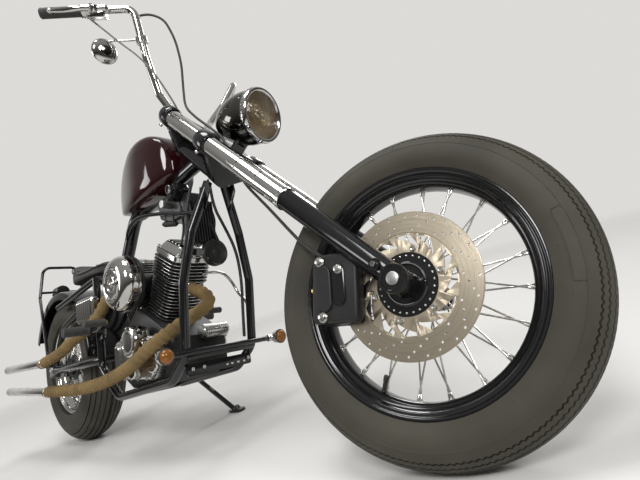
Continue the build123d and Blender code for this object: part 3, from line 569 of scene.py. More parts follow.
def ring_marks(coat, spot, scale):
    """Fine rings about an axis, as a brake pad or a lathe leaves."""
    radius = coat.node("ShaderNodeVectorMath", {"operation": "LENGTH"}, {0: spot}, "Value")
    return coat.node("ShaderNodeTexNoise", {"noise_dimensions": "1D"}, {"W": radius * scale, "Detail": 4.0})


def disc_steel(coat, colours):
    """The disc's brushed band, with the marks of its pads."""
    spot = disc_spot(coat)
    rings = ring_marks(coat, spot, 900)
    wide = ring_marks(coat, spot, 120)
    tone = coat.tint(rings, tuple(colours.disc), darker(tuple(colours.disc), 0.72))
    return coat.shade({
        "Base Color": coat.tint(wide.ramp(0.5, 0.75), tone, darker(tuple(colours.disc), 0.62)),
        "Metallic": 1.0,
        "Roughness": rings * 0.2 + 0.2,
        "Normal": coat.bump(rings, 0.3, 0.0002),
    })


def disc_carrier(coat, colours):
    """The disc's bead-blasted middle."""
    grain = coat.noise(1200, detail=2)
    return coat.shade({
        "Base Color": coat.tint(coat.noise(25), (0.46, 0.4, 0.31), (0.36, 0.31, 0.235)),
        "Metallic": 1.0,
        "Roughness": grain * 0.15 + 0.38,
        "Normal": coat.bump(grain, 0.2, 0.0002),
    })


def black_rubber(coat, colours):
    """Moulded black rubber."""
    grain = coat.noise(900, detail=3)
    return coat.shade({
        "Base Color": coat.tint(coat.noise(30), (0.02, 0.02, 0.02), (0.04, 0.039, 0.037)),
        "Roughness": grain * 0.2 + 0.5,
        "Normal": coat.bump(grain, 0.25, 0.0003),
    })


def grey_cable(coat, colours):
    """A grey sheath with a faint twist."""
    twist = coat.noise(500, detail=2)
    return coat.shade({
        "Base Color": coat.tint(twist, (0.16, 0.155, 0.145), (0.26, 0.25, 0.235)),
        "Roughness": twist * 0.2 + 0.4,
        "Normal": coat.bump(twist, 0.3, 0.0003),
    })


def clear_lens(coat, colours):
    """Clear lamp glass with faint fluting and dust."""
    return coat.shade({
        "Base Color": coat.tint(coat.noise(40), (0.97, 0.94, 0.87), (0.93, 0.89, 0.8)),
        "Roughness": coat.noise(60) * 0.06 + 0.01,
        "IOR": 1.45,
        "Transmission Weight": 1.0,
        "Normal": coat.bump(lamp_flutes(coat), 0.3, 0.001),
    })


def amber_lens(coat, colours):
    """Amber lens plastic with rings inside."""
    rings = coat.noise(150)
    return coat.shade({
        "Base Color": coat.tint(rings, (0.36, 0.135, 0.015), (0.24, 0.085, 0.01)),
        "Roughness": rings * 0.1 + 0.08,
        "Transmission Weight": 0.3,
    })


def red_lens(coat, colours):
    """Red lamp plastic."""
    rings = coat.noise(150)
    return coat.shade({
        "Base Color": coat.tint(rings, (0.5, 0.02, 0.015), (0.36, 0.012, 0.01)),
        "Roughness": rings * 0.1 + 0.08,
        "Transmission Weight": 0.3,
    })


def black_plastic(coat, colours):
    """Moulded black plastic."""
    grain = coat.noise(700, detail=3)
    return coat.shade({
        "Base Color": coat.tint(coat.noise(40), (0.018, 0.018, 0.02), (0.03, 0.03, 0.031)),
        "Roughness": grain * 0.15 + 0.22,
        "Normal": coat.bump(grain, 0.12, 0.0003),
    })


def heat_wrap(coat, colours):
    """Woven tan bandage, browner where it is hot, with painted shade in the weave's hollows between the
    threads.
    """
    base = tuple(colours.wrap)
    sheet = coat.node("ShaderNodeUVMap", {"uv_map": "UVMap"}, {})
    split = coat.node("ShaderNodeSeparateXYZ", {}, {0: sheet})
    across = Wire(coat, split.socket.node.outputs[1])
    weave = (split * 900).sine() * (across * 900).sine() * 0.5 + 0.5
    burn = coat.noise(14, detail=5).ramp(0.35, 0.7)
    fray = coat.noise(420, detail=4)
    tone = coat.tint(burn, darker(base, 1.25), darker(base, 0.55))
    return coat.shade({
        # Darkest where the weave's bump is lowest: painted shade between the threads, varied by the random
        # fray
        "Base Color": coat.tint(weave * fray, darker(base, 0.35), tone),
        "Roughness": fray * 0.1 + 0.85,
        "Normal": coat.bump(weave + fray, 0.6, 0.0006),
    })


def maroon_paint(coat, colours):
    """Deep candy paint with fine flakes under a clear coat."""
    flakes = coat.cells(2600).ramp(0.1, 0.5)
    base = tuple(colours.paint)
    return coat.shade({
        "Base Color": coat.tint(flakes, darker(base, 1.7), base),
        "Roughness": coat.noise(60) * 0.06 + 0.05,
        "Normal": coat.bump(flakes, 0.04, 0.0001),
    })


def black_leather(coat, colours):
    """Grained black leather with soft wear."""
    grain = coat.cells(420, feature="DISTANCE_TO_EDGE").ramp(0.0, 0.3)
    wear = coat.noise(12, detail=5).ramp(0.45, 0.75)
    return coat.shade({
        "Base Color": coat.tint(wear, (0.016, 0.015, 0.014), (0.035, 0.032, 0.029)),
        "Roughness": wear * 0.12 + 0.42,
        "Normal": coat.bump(grain, 0.45, 0.0006),
    })


def floor_paint(coat, colours):
    """The plain pale floor, which fades into the backdrop."""
    length = coat.node("ShaderNodeVectorMath", {"operation": "LENGTH"}, {0: coat.where()}, "Value")
    return coat.shade({
        "Base Color": coat.tint(coat.noise(3), tuple(colours.floor), darker(tuple(colours.floor), 0.985)),
        "Alpha": 1 - length.ramp(1.8, 5.5),
        "Roughness": 0.6,
        "Specular IOR Level": 0.1,
    })


FINISHES = (tyre_rubber, gloss_black, satin_black, chrome, dark_chrome, polished_steel, plated_steel,
            polished_alloy, reflector, bulb_glass, brass, disc_steel, disc_carrier, black_rubber,
            grey_cable, clear_lens, amber_lens, red_lens, black_plastic, heat_wrap, maroon_paint,
            black_leather, floor_paint)
MAKERS = {maker.__name__: maker for maker in FINISHES}


def finished(name):
    """The material of a finish, made on its first use."""
    title = name + "_finish"
    if title not in bpy.data.materials:
        MAKERS[name](Coat(title), bpy.context.scene.chopper_colours)
    return bpy.data.materials[title]


def colour_property(name, description, default):
    return bpy.props.FloatVectorProperty(name=name, description=description, default=default,
                                         subtype="COLOR", min=0.0, max=1.0)


class ChopperColours(bpy.types.PropertyGroup):
    """Colours of the finishes, as linear values."""
    rubber: colour_property("Tyre rubber", "Colour of both tyres", (0.05, 0.045, 0.034))
    enamel: colour_property("Enamel", "Colour of the black enamel", (0.008, 0.008, 0.009))
    chrome: colour_property("Chrome", "Colour of the chromium plate", (0.56, 0.55, 0.53))
    disc: colour_property("Brake disc", "Colour of the brake disc's band", (0.62, 0.54, 0.42))
    wrap: colour_property("Heat wrap", "Colour of the exhaust bandage", (0.42, 0.28, 0.11))
    paint: colour_property("Paint", "Colour of the tank", (0.022, 0.003, 0.004))
    floor: colour_property("Floor", "Colour of the studio floor", (0.72, 0.71, 0.69))


def length_property(name, description, default):
    return bpy.props.FloatProperty(name=name, description=description, default=default, min=0.0,
                                   subtype="DISTANCE", unit="LENGTH")


class ChopperSizes(bpy.types.PropertyGroup):
    """Sizes of the modelled pieces, in the drawing's millimetres."""
    groove_depth: length_property("Groove depth", "Depth of the front tyre's zigzag grooves", 4.2)
    groove_width: length_property("Groove width", "Width of the front tyre's grooves", 4.2)
    zigzag: length_property("Zigzag", "Sideways reach of the zigzag grooves", 3.6)
    teeth: bpy.props.IntProperty(name="Teeth", description="Zigzag teeth round the front tyre", default=156,
                                 min=24)
    spoke_radius: length_property("Spoke radius", "Radius of one spoke", 2.0)
    hole_radius: length_property("Hole radius", "Radius of the holes in the brake disc", 2.7)
    wrap_pitch: length_property("Wrap pitch", "Distance between the turns of the exhaust bandage", 24.0)
    wrap_lap: length_property("Wrap lap", "Height of one turn of the bandage over the next", 3.0)


def tyre_section(middle, crown, angle, depth=0.0):
    """A point of a tyre's round section, as (radius, height), at an angle from its crown."""
    return (middle + (crown - depth) * cos(angle), (crown - depth) * sin(angle))


# Front tyre: a round section with zigzag grooves, at these angles from the crown in degrees
FRONT_TYRE = {"radius": 345.0, "crown": 56.0, "shelf": 255.0, "bead": 37.0, "seat": 243.5}
GROOVE_ANGLES = (-52, -38, -22, -7, 7, 22, 38, 52)
SIDEWALL_ANGLES = (60, 66, 72, 80, 90, 101, 113)


def front_tyre_profile(sizes):
    """The section's points from left bead to right bead."""
    crown = FRONT_TYRE["crown"]
    middle = FRONT_TYRE["radius"] - crown
    half = sizes.groove_width / 2 / crown
    last = pi - atan2(sqrt(crown ** 2 - (middle - FRONT_TYRE["shelf"]) ** 2), middle - FRONT_TYRE["shelf"])
    tread = []
    for angle in (radians(a) for a in GROOVE_ANGLES):
        tread += [(angle - half, 0.0), (angle - half * 0.5, sizes.groove_depth),
                  (angle + half * 0.5, sizes.groove_depth), (angle + half, 0.0)]
    side = [(radians(a), 0.0) for a in SIDEWALL_ANGLES]
    ridge = radians(74)
    side += [(ridge, -0.7), (ridge + 0.012, 0.0), (ridge - 0.012, 0.0), (last, 0.0)]
    side.sort()
    left = [(-angle, depth) for angle, depth in reversed(side)]
    wall = [tyre_section(middle, crown, angle, depth) for angle, depth in left + tread + side]
    foot = [(FRONT_TYRE["shelf"], FRONT_TYRE["bead"]), (FRONT_TYRE["seat"], FRONT_TYRE["bead"]),
            (FRONT_TYRE["seat"], -FRONT_TYRE["bead"]), (FRONT_TYRE["shelf"], -FRONT_TYRE["bead"])]
    return wall + foot


def shift_grooves(sizes, angle, sideways):
    """Turns the selected ring's groove points about the middle of the tyre's section."""
    crown = FRONT_TYRE["crown"]
    middle = FRONT_TYRE["radius"] - crown
    reach = radians(55)
    mesh = bmesh.from_edit_mesh(bpy.context.object.data)
    for vert in mesh.verts:
        if vert.select:
            out = sqrt(vert.co.x ** 2 + vert.co.y ** 2) - middle
            on_tread = abs(atan2(vert.co.z, out)) < reach and out > 0
            vert.select_set(on_tread)
    mesh.select_flush_mode()
    bmesh.update_edit_mesh(bpy.context.object.data)
    centre = (middle * cos(angle), middle * sin(angle), 0)
    bpy.ops.transform.rotate(value=sideways / crown, orient_axis="Y", orient_type="GLOBAL",
                             center_override=centre)


class CHOPPER_OT_front_tyre(bpy.types.Operator):
    """Model the front tyre with its zigzag tread"""
    bl_idname = "chopper.front_tyre"
    bl_label = "Front tyre"

    def execute(self, context):
        sizes = context.scene.chopper_sizes
        step = pi / sizes.teeth
        profile = front_tyre_profile(sizes)
        points = [(radius, 0, height) for radius, height in profile]
        draw(points + points[:1])
        bpy.ops.mesh.select_all(action="SELECT")
        for index, way in enumerate((1, -1)):
            bpy.ops.mesh.spin(steps=1, angle=step, center=(0, 0, 0), axis=(0, 0, 1))
            ring = [vert.index for vert in bmesh.from_edit_mesh(bpy.context.object.data).verts if vert.select]
            shift_grooves(sizes, step * (index + 1), way * sizes.zigzag)
            mesh = bmesh.from_edit_mesh(bpy.context.object.data)
            mesh.verts.ensure_lookup_table()
            for number in ring:
                mesh.verts[number].select_set(True)
            mesh.select_flush_mode()
            for edge in mesh.edges:
                edge.select_set(all(vert.index in ring for vert in edge.verts))
            bmesh.update_edit_mesh(bpy.context.object.data)
        bpy.ops.mesh.select_all(action="SELECT")
        bpy.ops.mesh.spin(steps=sizes.teeth, angle=2 * pi, dupli=True, center=(0, 0, 0), axis=(0, 0, 1))
        tyre = close_mesh(gap=0.3, smooth=40)
        settle(tyre, "front_tyre_tread", axle_place(FRONT_AXLE), "tyre_rubber", "front_wheel", "front_tyre")
        return {"FINISHED"}


# Small parts that several pieces use
def socket_bolt(radius, height):
    """A round bolt head with a six-sided socket, along local Z."""
    head = lathe([(0, 0), (radius, 0), (radius, height * 0.7), (radius * 0.86, height), (0, height)], 24)
    deselect()
    bpy.ops.mesh.primitive_cylinder_add(vertices=6, radius=radius * 0.56, depth=height,
                                        location=(0, 0, height))
    return cut(head, bpy.context.object)


def hex_bolt(radius, height):
    """A six-sided bolt head on its washer, along local Z."""
    wide = radius * 1.3
    washer = lathe([(0, 0), (wide, 0), (wide, height * 0.2), (wide * 0.94, height * 0.28),
                    (0, height * 0.28)], 24)
    deselect()
    bpy.ops.mesh.primitive_cylinder_add(vertices=6, radius=radius, depth=height * 0.8,
                                        location=(0, 0, height * 0.6))
    return join([washer, rounded(bpy.context.object, radius * 0.1)])


def dome(radius, height):
    """A low round dome, along local Z."""
    profile = [(radius * cos(a), height * sin(a)) for a in (0, 0.35, 0.75, 1.15)]
    return lathe([(0, 0)] + profile + [(0, height)], 16)


def arc(first, middle, last, count):
    """Points on the circle through three points of a plane, from the first to the last."""
    ax, ay = first[0] - middle[0], first[1] - middle[1]
    bx, by = last[0] - middle[0], last[1] - middle[1]
    across = 2 * (ax * by - ay * bx)
    a2, b2 = ax * ax + ay * ay, bx * bx + by * by
    cx = middle[0] + (by * a2 - ay * b2) / across
    cy = middle[1] + (ax * b2 - bx * a2) / across
    radius = sqrt((first[0] - cx) ** 2 + (first[1] - cy) ** 2)
    start = atan2(first[1] - cy, first[0] - cx)
    turns = [(atan2(y - cy, x - cx) - start) % (2 * pi) for x, y in (middle, last)]
    sweep = turns[1] if turns[0] < turns[1] else turns[1] - 2 * pi
    return [(cx + radius * cos(start + sweep * i / count), cy + radius * sin(start + sweep * i / count))
            for i in range(count + 1)]


def polar(radius, degree):
    return (radius * cos(radians(degree)), radius * sin(radians(degree)))


class CHOPPER_OT_tyre_marks(bpy.types.Operator):
    """Model the front tyre's raised blank panels and vent nubs"""
    bl_idname = "chopper.tyre_marks"
    bl_label = "Front tyre marks"

    def execute(self, context):
        middle = FRONT_TYRE["radius"] - FRONT_TYRE["crown"]

        def on_wall(around, angle, lift=0.2):
            radius, height = tyre_section(middle, FRONT_TYRE["crown"], angle, -lift)
            return Vector((radius * cos(around), radius * sin(around), height))

        half_length = radians(13)
        half_height = radians(11)
        wall = radians(84)
        rims = []
        for side in (-1, 1):
            loop = []
            for index in range(33):
                turn = 2 * pi * index / 32
                square = max(-1.0, min(1.0, 1.35 * cos(turn)))
                around = half_length * (abs(square) ** 0.8) * (1 if square > 0 else -1) - radians(4)
                loop.append(on_wall(around, side * (wall + half_height * max(-1, min(1, 1.3 * sin(turn))))))
            rims.append(rod(loop, 0.9, 6))
        panels = join(rims)
        settle(panels, "front_tyre_panels", axle_place(FRONT_AXLE), "tyre_rubber", "front_wheel")
        nub = lathe([(0, -0.4), (0.8, -0.4), (0.6, 1.4), (0, 1.4)], 6)
        places = []
        for index in range(36):
            around = 2 * pi * (index + 0.3 * (index % 3)) / 36
            angle = radians((66, 96, 108)[index % 3]) * (-1 if index % 2 else 1)
            out = on_wall(around, angle) - on_wall(around, angle, -5)
            places.append(aim(on_wall(around, angle, 0), out))
        nubs = spread(nub, places)
        settle(nubs, "front_tyre_nubs", axle_place(FRONT_AXLE), "tyre_rubber", "front_wheel")
        return {"FINISHED"}


# Half of each rim's section as (radius, height), from the tyre's side round to the well
FRONT_RIM = [(226, 0), (226, 14), (243, 24), (243, 36.5), (252, 36.5), (254.5, 38), (255.2, 41), (254, 43.4),
             (251, 44), (248, 42.8), (246.5, 40), (243.5, 38.8), (240, 38), (237.8, 35.5), (237.2, 31),
             (234.5, 27.5), (229, 25), (224, 22), (221.5, 18), (220.8, 10), (220.5, 0)]
REAR_RIM = [(172, 0), (172, 18), (191, 34), (191, 56.5), (201, 56.5), (203.5, 58), (204.2, 61), (203, 63.4),
            (200, 64), (197, 62.8), (195.5, 60), (192.5, 58.8), (189, 58), (186.8, 55), (186.2, 50),
            (183, 44), (176, 38), (170, 32), (167.5, 26), (166.8, 14), (166.5, 0)]
# Wheel by wheel: axle, body, rim section, well radius, flange radius, flange height, spoke pairs
WHEELS = {
    "front": (FRONT_AXLE, "front_wheel", FRONT_RIM, 221.0, 38.0, 34.0, 10),
    "rear": (REAR_AXLE, "rear_wheel", REAR_RIM, 167.0, 56.0, 40.0, 10),
}


def spoke_ends(well, flange, height, pairs):
    """Both ends of every spoke, about the axle: the spokes of each flange cross in pairs."""
    lace = radians(46)
    for side in (-1, 1):
        for lean in (-1, 1):
            for index in range(pairs):
                start = pi / 2 / pairs * (lean + side) + 2 * pi * index / pairs
                end = start + lace * lean
                low = flange - 7
                foot = Vector((low * cos(start), low * sin(start), side * (height + lean * 1.5)))
                yield foot, Vector(((well + 2) * cos(end), (well + 2) * sin(end), side * 6))


def make_wheel_parts(name, sizes):
    """The rim, spokes and nipples of a wheel."""
    axle, body, section, well, flange, height, pairs = WHEELS[name]
    rim = lathe(section + [(r, -z) for r, z in reversed(section[1:-1])], 128, closed=True, smooth=50)
    finish = "gloss_black" if name == "front" else "chrome"
    settle(rim, name + "_rim_finished", axle_place(axle), finish, body, name + "_rim")
    ends = list(spoke_ends(well, flange, height, pairs))
    length = (ends[0][1] - ends[0][0]).length
    thin = sizes.spoke_radius
    shank = lathe([(0, 0), (thin * 1.6, 0), (thin * 1.6, 3), (thin, 5), (thin, length - 6),
                   (0, length - 6)], 10)
    spokes = spread(shank, [aim(foot, tip - foot) for foot, tip in ends])
    settle(spokes, name + "_spokes", axle_place(axle), "polished_steel", body, name + "_hub_spokes")
    nipple = lathe([(0, -15), (2.3, -15), (2.7, -13.6), (2.7, -4), (3.9, -3), (3.9, 1), (0, 1)], 10)
    nipples = spread(nipple, [aim(tip, tip - foot) for foot, tip in ends])
    settle(nipples, name + "_nipples", axle_place(axle), "polished_steel", body)


class CHOPPER_OT_front_wheel(bpy.types.Operator):
    """Model the front rim, spokes, hub and hub cover"""
    bl_idname = "chopper.front_wheel"
    bl_label = "Front wheel"

    def execute(self, context):
        make_wheel_parts("front", context.scene.chopper_sizes)
        place = axle_place(FRONT_AXLE)
        hub = lathe([(9, -70), (23, -70), (24, -66), (24, -44), (31, -40), (38, -37.5), (39.5, -35),
                     (39.5, -33), (38, -30.5), (31, -28), (25, -20), (25, 20), (31, 28), (38, 30.5),
                     (39.5, 33), (39.5, 35), (38, 37.5), (30, 39), (24, 42), (9, 42)], 64)
        settle(hub, "front_hub", place, "gloss_black", "front_wheel")
        cover = lathe([(8.6, -63.6), (64, -63.6), (65, -65), (65, -69), (64, -70.5), (45, -71.5),
                       (42.5, -74.5), (39.5, -75), (38, -72.5), (30, -72), (22, -74), (8.6, -74)], 96,
                       smooth=30)
        settle(cover, "hub_cover", place, "gloss_black", "front_wheel")
        bead = round_copies(dome(2.5, 2.2), 26, 57)
        face = aim((0, 0, -70.6), (0, 0, -1), (1, 0, 0))
        settle(bead, "hub_cover_beads", place @ face, "polished_steel", "front_wheel")
        ring = lathe([(40.2, 0), (42, 0), (42, 1.2), (40.2, 1.2)], 64, closed=True)
        settle(ring, "hub_cover_ring", place @ aim((0, 0, -74.4), (0, 0, -1)), "chrome", "front_wheel")
        self.valve(place)
        return {"FINISHED"}

    def valve(self, place):
        angle = radians(118)
        foot = Vector((222 * cos(angle), 222 * sin(angle), -8))
        stem = lathe([(0, 0), (6, 0), (6, 3), (4, 5), (4, 24), (5, 25), (5, 35), (4, 36.5), (0, 36.5)], 16)
        settle(stem, "valve_stem", place @ aim(foot, Vector((-foot.x, -foot.y, -80))), "black_rubber",
               "front_wheel")


# Where the brake disc lies along the axle
DISC_FACE = -68.0


class CHOPPER_OT_brake_disc(bpy.types.Operator):
    """Model the drilled disc, its carrier with swept windows and its bolts"""
    bl_idname = "chopper.brake_disc"
    bl_label = "Brake disc"

    def execute(self, context):
        sizes = context.scene.chopper_sizes
        place = axle_place(FRONT_AXLE, DISC_FACE)
        band = lathe([(105, -2), (105.6, -2.5), (148.4, -2.5), (149, -2), (149, 2), (148.4, 2.5),
                      (105.6, 2.5), (105, 2)], 128, closed=True)
        drills = []
        # Radius and angle of each hole of one group
        for radius, degree in ((112, 0), (121, 7.5), (130, 14), (141, 3.5), (139, 19)):
            x, y = polar(radius, degree)
            deselect()
            bpy.ops.mesh.primitive_cylinder_add(vertices=12, radius=sizes.hole_radius, depth=12,
                                                location=(x, y, 0))
            drills.append(bpy.context.object)
        cut(band, round_copies(join(drills), 14))
        bpy.ops.object.shade_smooth_by_angle(angle=radians(35))
        settle(band, "disc_band", place, "disc_steel", "front_wheel", "brake_disc")
        carrier = lathe([(64, -1.6), (107, -1.6), (107, 1.6), (64, 1.6)], 96, closed=True)
        wide = [(77, 0), (80, -4.5), (90, -12), (101, -19), (101.5, -22), (101.5, -34), (100, -37), (96, -35),
                (88, -23), (80, -9), (76, -3.5)]
        slim = [(78, 23), (82, 20.5), (90, 14), (100, 7.5), (101.5, 5), (101.5, -6), (99.5, -9), (95, -7),
                (88, 4), (80, 16), (76.5, 21)]
        windows = []
        for outline in (wide, slim):
            windows.append(slab([polar(r, a) for r, a in outline], -5, 5))
        cut(carrier, round_copies(join(windows), 6))
        rounded(carrier, 0.5, 1)
        settle(carrier, "disc_carrier", place, "disc_carrier", "front_wheel", slot="disc_steel")
        bolts = round_copies(socket_bolt(6.2, 4.5), 6, 72, radians(12))
        settle(bolts, "disc_bolts", place @ aim((0, 0, -1.6), (0, 0, -1), (1, 0, 0)), "polished_steel",
               "front_wheel")
        return {"FINISHED"}


class CHOPPER_OT_fork(bpy.types.Operator):
    """Model the fork's rings, bolts, caps and clamps"""
    bl_idname = "chopper.fork"
    bl_label = "Fork"

    def execute(self, context):
        refined("fork_legs", "gloss_black", 1.6)
        refined("upper_clamp", "gloss_black", 4.0)
        refined("lower_clamp", "gloss_black", 4.0)
        refined("front_axle", "plated_steel", 1.2)
        ring = [(25.6, -15), (28.4, -15), (29.2, -14), (29.2, -9.5), (28.4, -8.6), (28.4, -6.6), (29.2, -5.8),
                (29.2, -1), (28, 0.4), (25.6, 0.6)]
        self.pair(lathe(ring, 64, closed=True), "fork_rings", 379, "chrome")
        cap = lathe([(0, 9), (9, 9), (9, 13), (12, 14), (20, 13.4), (25.2, 11), (26, 8), (26, 0), (0, 0)], 48)
        self.pair(cap, "fork_caps", 1009, "chrome")
        lips = lathe([(27.6, 0), (31, 0), (31.6, 1), (31.6, 4), (30.8, 5), (27.6, 5)], 64, closed=True)
        lips = row(lips, [(0, 0, z) for z in (973, 1009, 727.5, 776)])
        self.pair(lips, "clamp_lips", 0, "gloss_black")
        for way, name in SIDES:
            side = way * LEG
            outward = LEFT * way
            boss = lathe([(0, -8), (13, -8), (13, 2), (12, 3.5), (0, 3.5)], 32)
            settle(boss, "pinch_boss_" + name, aim(fork_point(52, side + way * 25.5), outward), "gloss_black",
                   "steering")
            pinch = socket_bolt(6, 6)
            settle(pinch, "pinch_bolt_" + name, aim(fork_point(52, side + way * 29), outward), "chrome",
                   "steering")
            cup = lathe([(0, 0), (9, 0), (10, 6), (22, 6.5), (24, 10), (27.5, 10), (29, 7.5), (29, -6),
                         (26, -8), (0, -8)], 64)
            settle(cup, "axle_cup_" + name, aim(FRONT_AXLE + LEFT * way * 128.5, outward), "gloss_black",
                   "steering")
        bolts = []
        for along in (754, 993):
            for way, name in SIDES:
                spot = fork_point(along - 6, way * (LEG + 18), -34)
                bolts.append(aim(spot, LEFT * way * 0.35 - STEER_FRONT))
        clamp_bolts = spread(socket_bolt(5.5, 8), bolts)
        settle(clamp_bolts, "clamp_bolts", HERE, "chrome", "steering")
        stem_nut = lathe([(0, 0), (19, 0), (19, 5), (14, 6), (14, 20), (9, 22), (0, 22)], 6, smooth=20)
        settle(stem_nut, "stem_nut", fork_place(1009, 0, -FORK_OFFSET), "chrome", "steering")
        return {"FINISHED"}

    def pair(self, piece, name, along, finish):
        """A round piece once on each leg."""
        both = row(piece, [(0, way * LEG, 0) for way, _ in SIDES])
        return settle(both, name, fork_place(along), finish, "steering")


# Where the caliper's outer face lies along the axle
CALIPER_FACE = -102.0


class CHOPPER_OT_caliper(bpy.types.Operator):
    """Model the caliper with its plate, ridge, bolts and hose fitting"""
    bl_idname = "chopper.caliper"
    bl_label = "Brake caliper"

    def execute(self, context):
        refined("brake_caliper", "satin_black", 4.0)
        place = axle_place(FRONT_AXLE, CALIPER_FACE) @ aim((0, 0, 0), (0, 0, -1), (1, 0, 0))
        # In this place local Z points to the right, local X forward and local Y up
        pill = slab(self.pill((-172, 16), 19, 50), -2, 6, 2.5)
        settle(pill, "caliper_plate", place, "satin_black", "steering")
        bridge = slab(self.pill((-136, 18), 16, 44), -4, 3, 3)
        settle(bridge, "caliper_ridge", place, "gloss_black", "steering")
        bosses = []
        bolts = []
        for x, y, radius in ((-178, 76, 12), (-178, -44, 12), (-134, 52, 11)):
            bosses.append(Matrix.Translation((x, y, -14)))
            bolts.append(Matrix.Translation((x, y, 1)) @ Matrix.Scale(radius / 12, 4))
        boss = lathe([(0, 0), (14, 0), (14, 12), (12.5, 15), (0, 15)], 32)
        settle(spread(boss, bosses), "caliper_bosses", place, "satin_black", "steering")
        settle(spread(hex_bolt(8.5, 9), bolts), "caliper_bolts", place, "polished_steel", "steering")
        banjo = lathe([(0, 0), (7, 0), (8, 1.5), (8, 9), (7, 10.5), (4, 11), (4, 14), (0, 14)], 6, smooth=20)
        settle(banjo, "caliper_banjo", place @ aim((-204, 22, -24), (-1, 0, 0.4)), "brass", "steering",
               slot="polished_steel")
        return {"FINISHED"}

    def pill(self, centre, half_width, half_height):
        """A rounded upright outline about a centre."""
        x, y = centre
        straight = half_height - half_width
        turns = [pi * i / 8 for i in range(9)]
        top = [(x + half_width * cos(a), y + straight + half_width * sin(a)) for a in turns]
        low = [(x - half_width * cos(a), y - straight - half_width * sin(a)) for a in turns]
        return top + low


LAMP_CENTRE = Vector((1396, 0, 962))
LAMP_AXIS = Vector((0.982, 0, -0.19))


class CHOPPER_OT_headlamp(bpy.types.Operator):
    """Model the hollow headlamp with its ring, reflector, bulb and glass"""
    bl_idname = "chopper.headlamp"
    bl_label = "Headlamp"

    def execute(self, context):
        place = aim(LAMP_CENTRE, LAMP_AXIS)
        curve = arc((10, -180), (58, -128), (80, -10), 24)
        wall = [(radius - 2.5, height + 2.0) for radius, height in reversed(curve[1:])]
        shell = lathe([(0, -181)] + curve + [(81, -2)] + wall + [(0, -176)], 96)
        settle(shell, "lamp_bucket", place, "dark_chrome", "steering", "headlamp_shell")
        ring = lathe([(70, 2), (77, -4), (81.5, -5), (83.5, -2), (84, 4), (83.6, 11), (81, 15.5), (77, 16),
                      (73, 14.5), (70.5, 11)], 96, closed=True)
        settle(ring, "lamp_ring", place, "chrome", "steering")
        notch = slab([(-1.3, -1.6), (1.3, -1.6), (1.3, 1.6), (-1.3, 1.6)], 0, 5, 0.4)
        notches = round_copies(notch, 48, 83.4)
        settle(notches, "lamp_ring_notches", place, "black_plastic", "steering")
        bowl = [(7, -54), (20, -51), (38, -42), (54, -28), (66, -9), (70, 3)]
        back = [(radius + 1.5, height - 2) for radius, height in reversed(bowl)]
        reflector = lathe(bowl + back, 96, closed=True, smooth=60)
        settle(reflector, "lamp_reflector", place, "reflector", "steering", slot="chrome")
        bulb = lathe([(0, -56), (6, -56), (6, -46), (9, -40), (11, -30), (9, -20), (4, -14), (0, -13)], 32)
        settle(bulb, "lamp_bulb", place, "bulb_glass", "steering", slot="clear_lens")
        outer = arc((70, 8), (35, 17), (0, 20), 10)
        inner = [(radius, height - 3) for radius, height in reversed(outer)]
        glass = lathe(outer + inner, 96, smooth=60)
        settle(glass, "lamp_glass", place, "clear_lens", "steering", "headlamp_lens")
        collar = lathe([(0, -30), (15, -30), (17, -26), (17, -4), (13, 0), (0, 0)], 32)
        settle(collar, "lamp_swivel", aim(LAMP_CENTRE + Vector((-84, 0, -44)), UP), "gloss_black", "steering")
        return {"FINISHED"}


# Handlebar, drawn with the steering straight
BAR_TIP = Vector((812, -411, 1392))
BAR_BEND = Vector((1056, -236, 1404))
GRIP_LENGTH = 134


def bar_place(side, back):
    """A place on a grip end of the bar: local Z runs out to the tip, local X to the front of the lever."""
    flip = Vector((1, -side, 1))
    tip, bend = BAR_TIP * flip, BAR_BEND * flip
    run = (tip - bend).normalized()
    ahead = Vector((run.y * side, -run.x * side, -0.8)).normalized()
    return aim(tip - run * back, run, ahead)


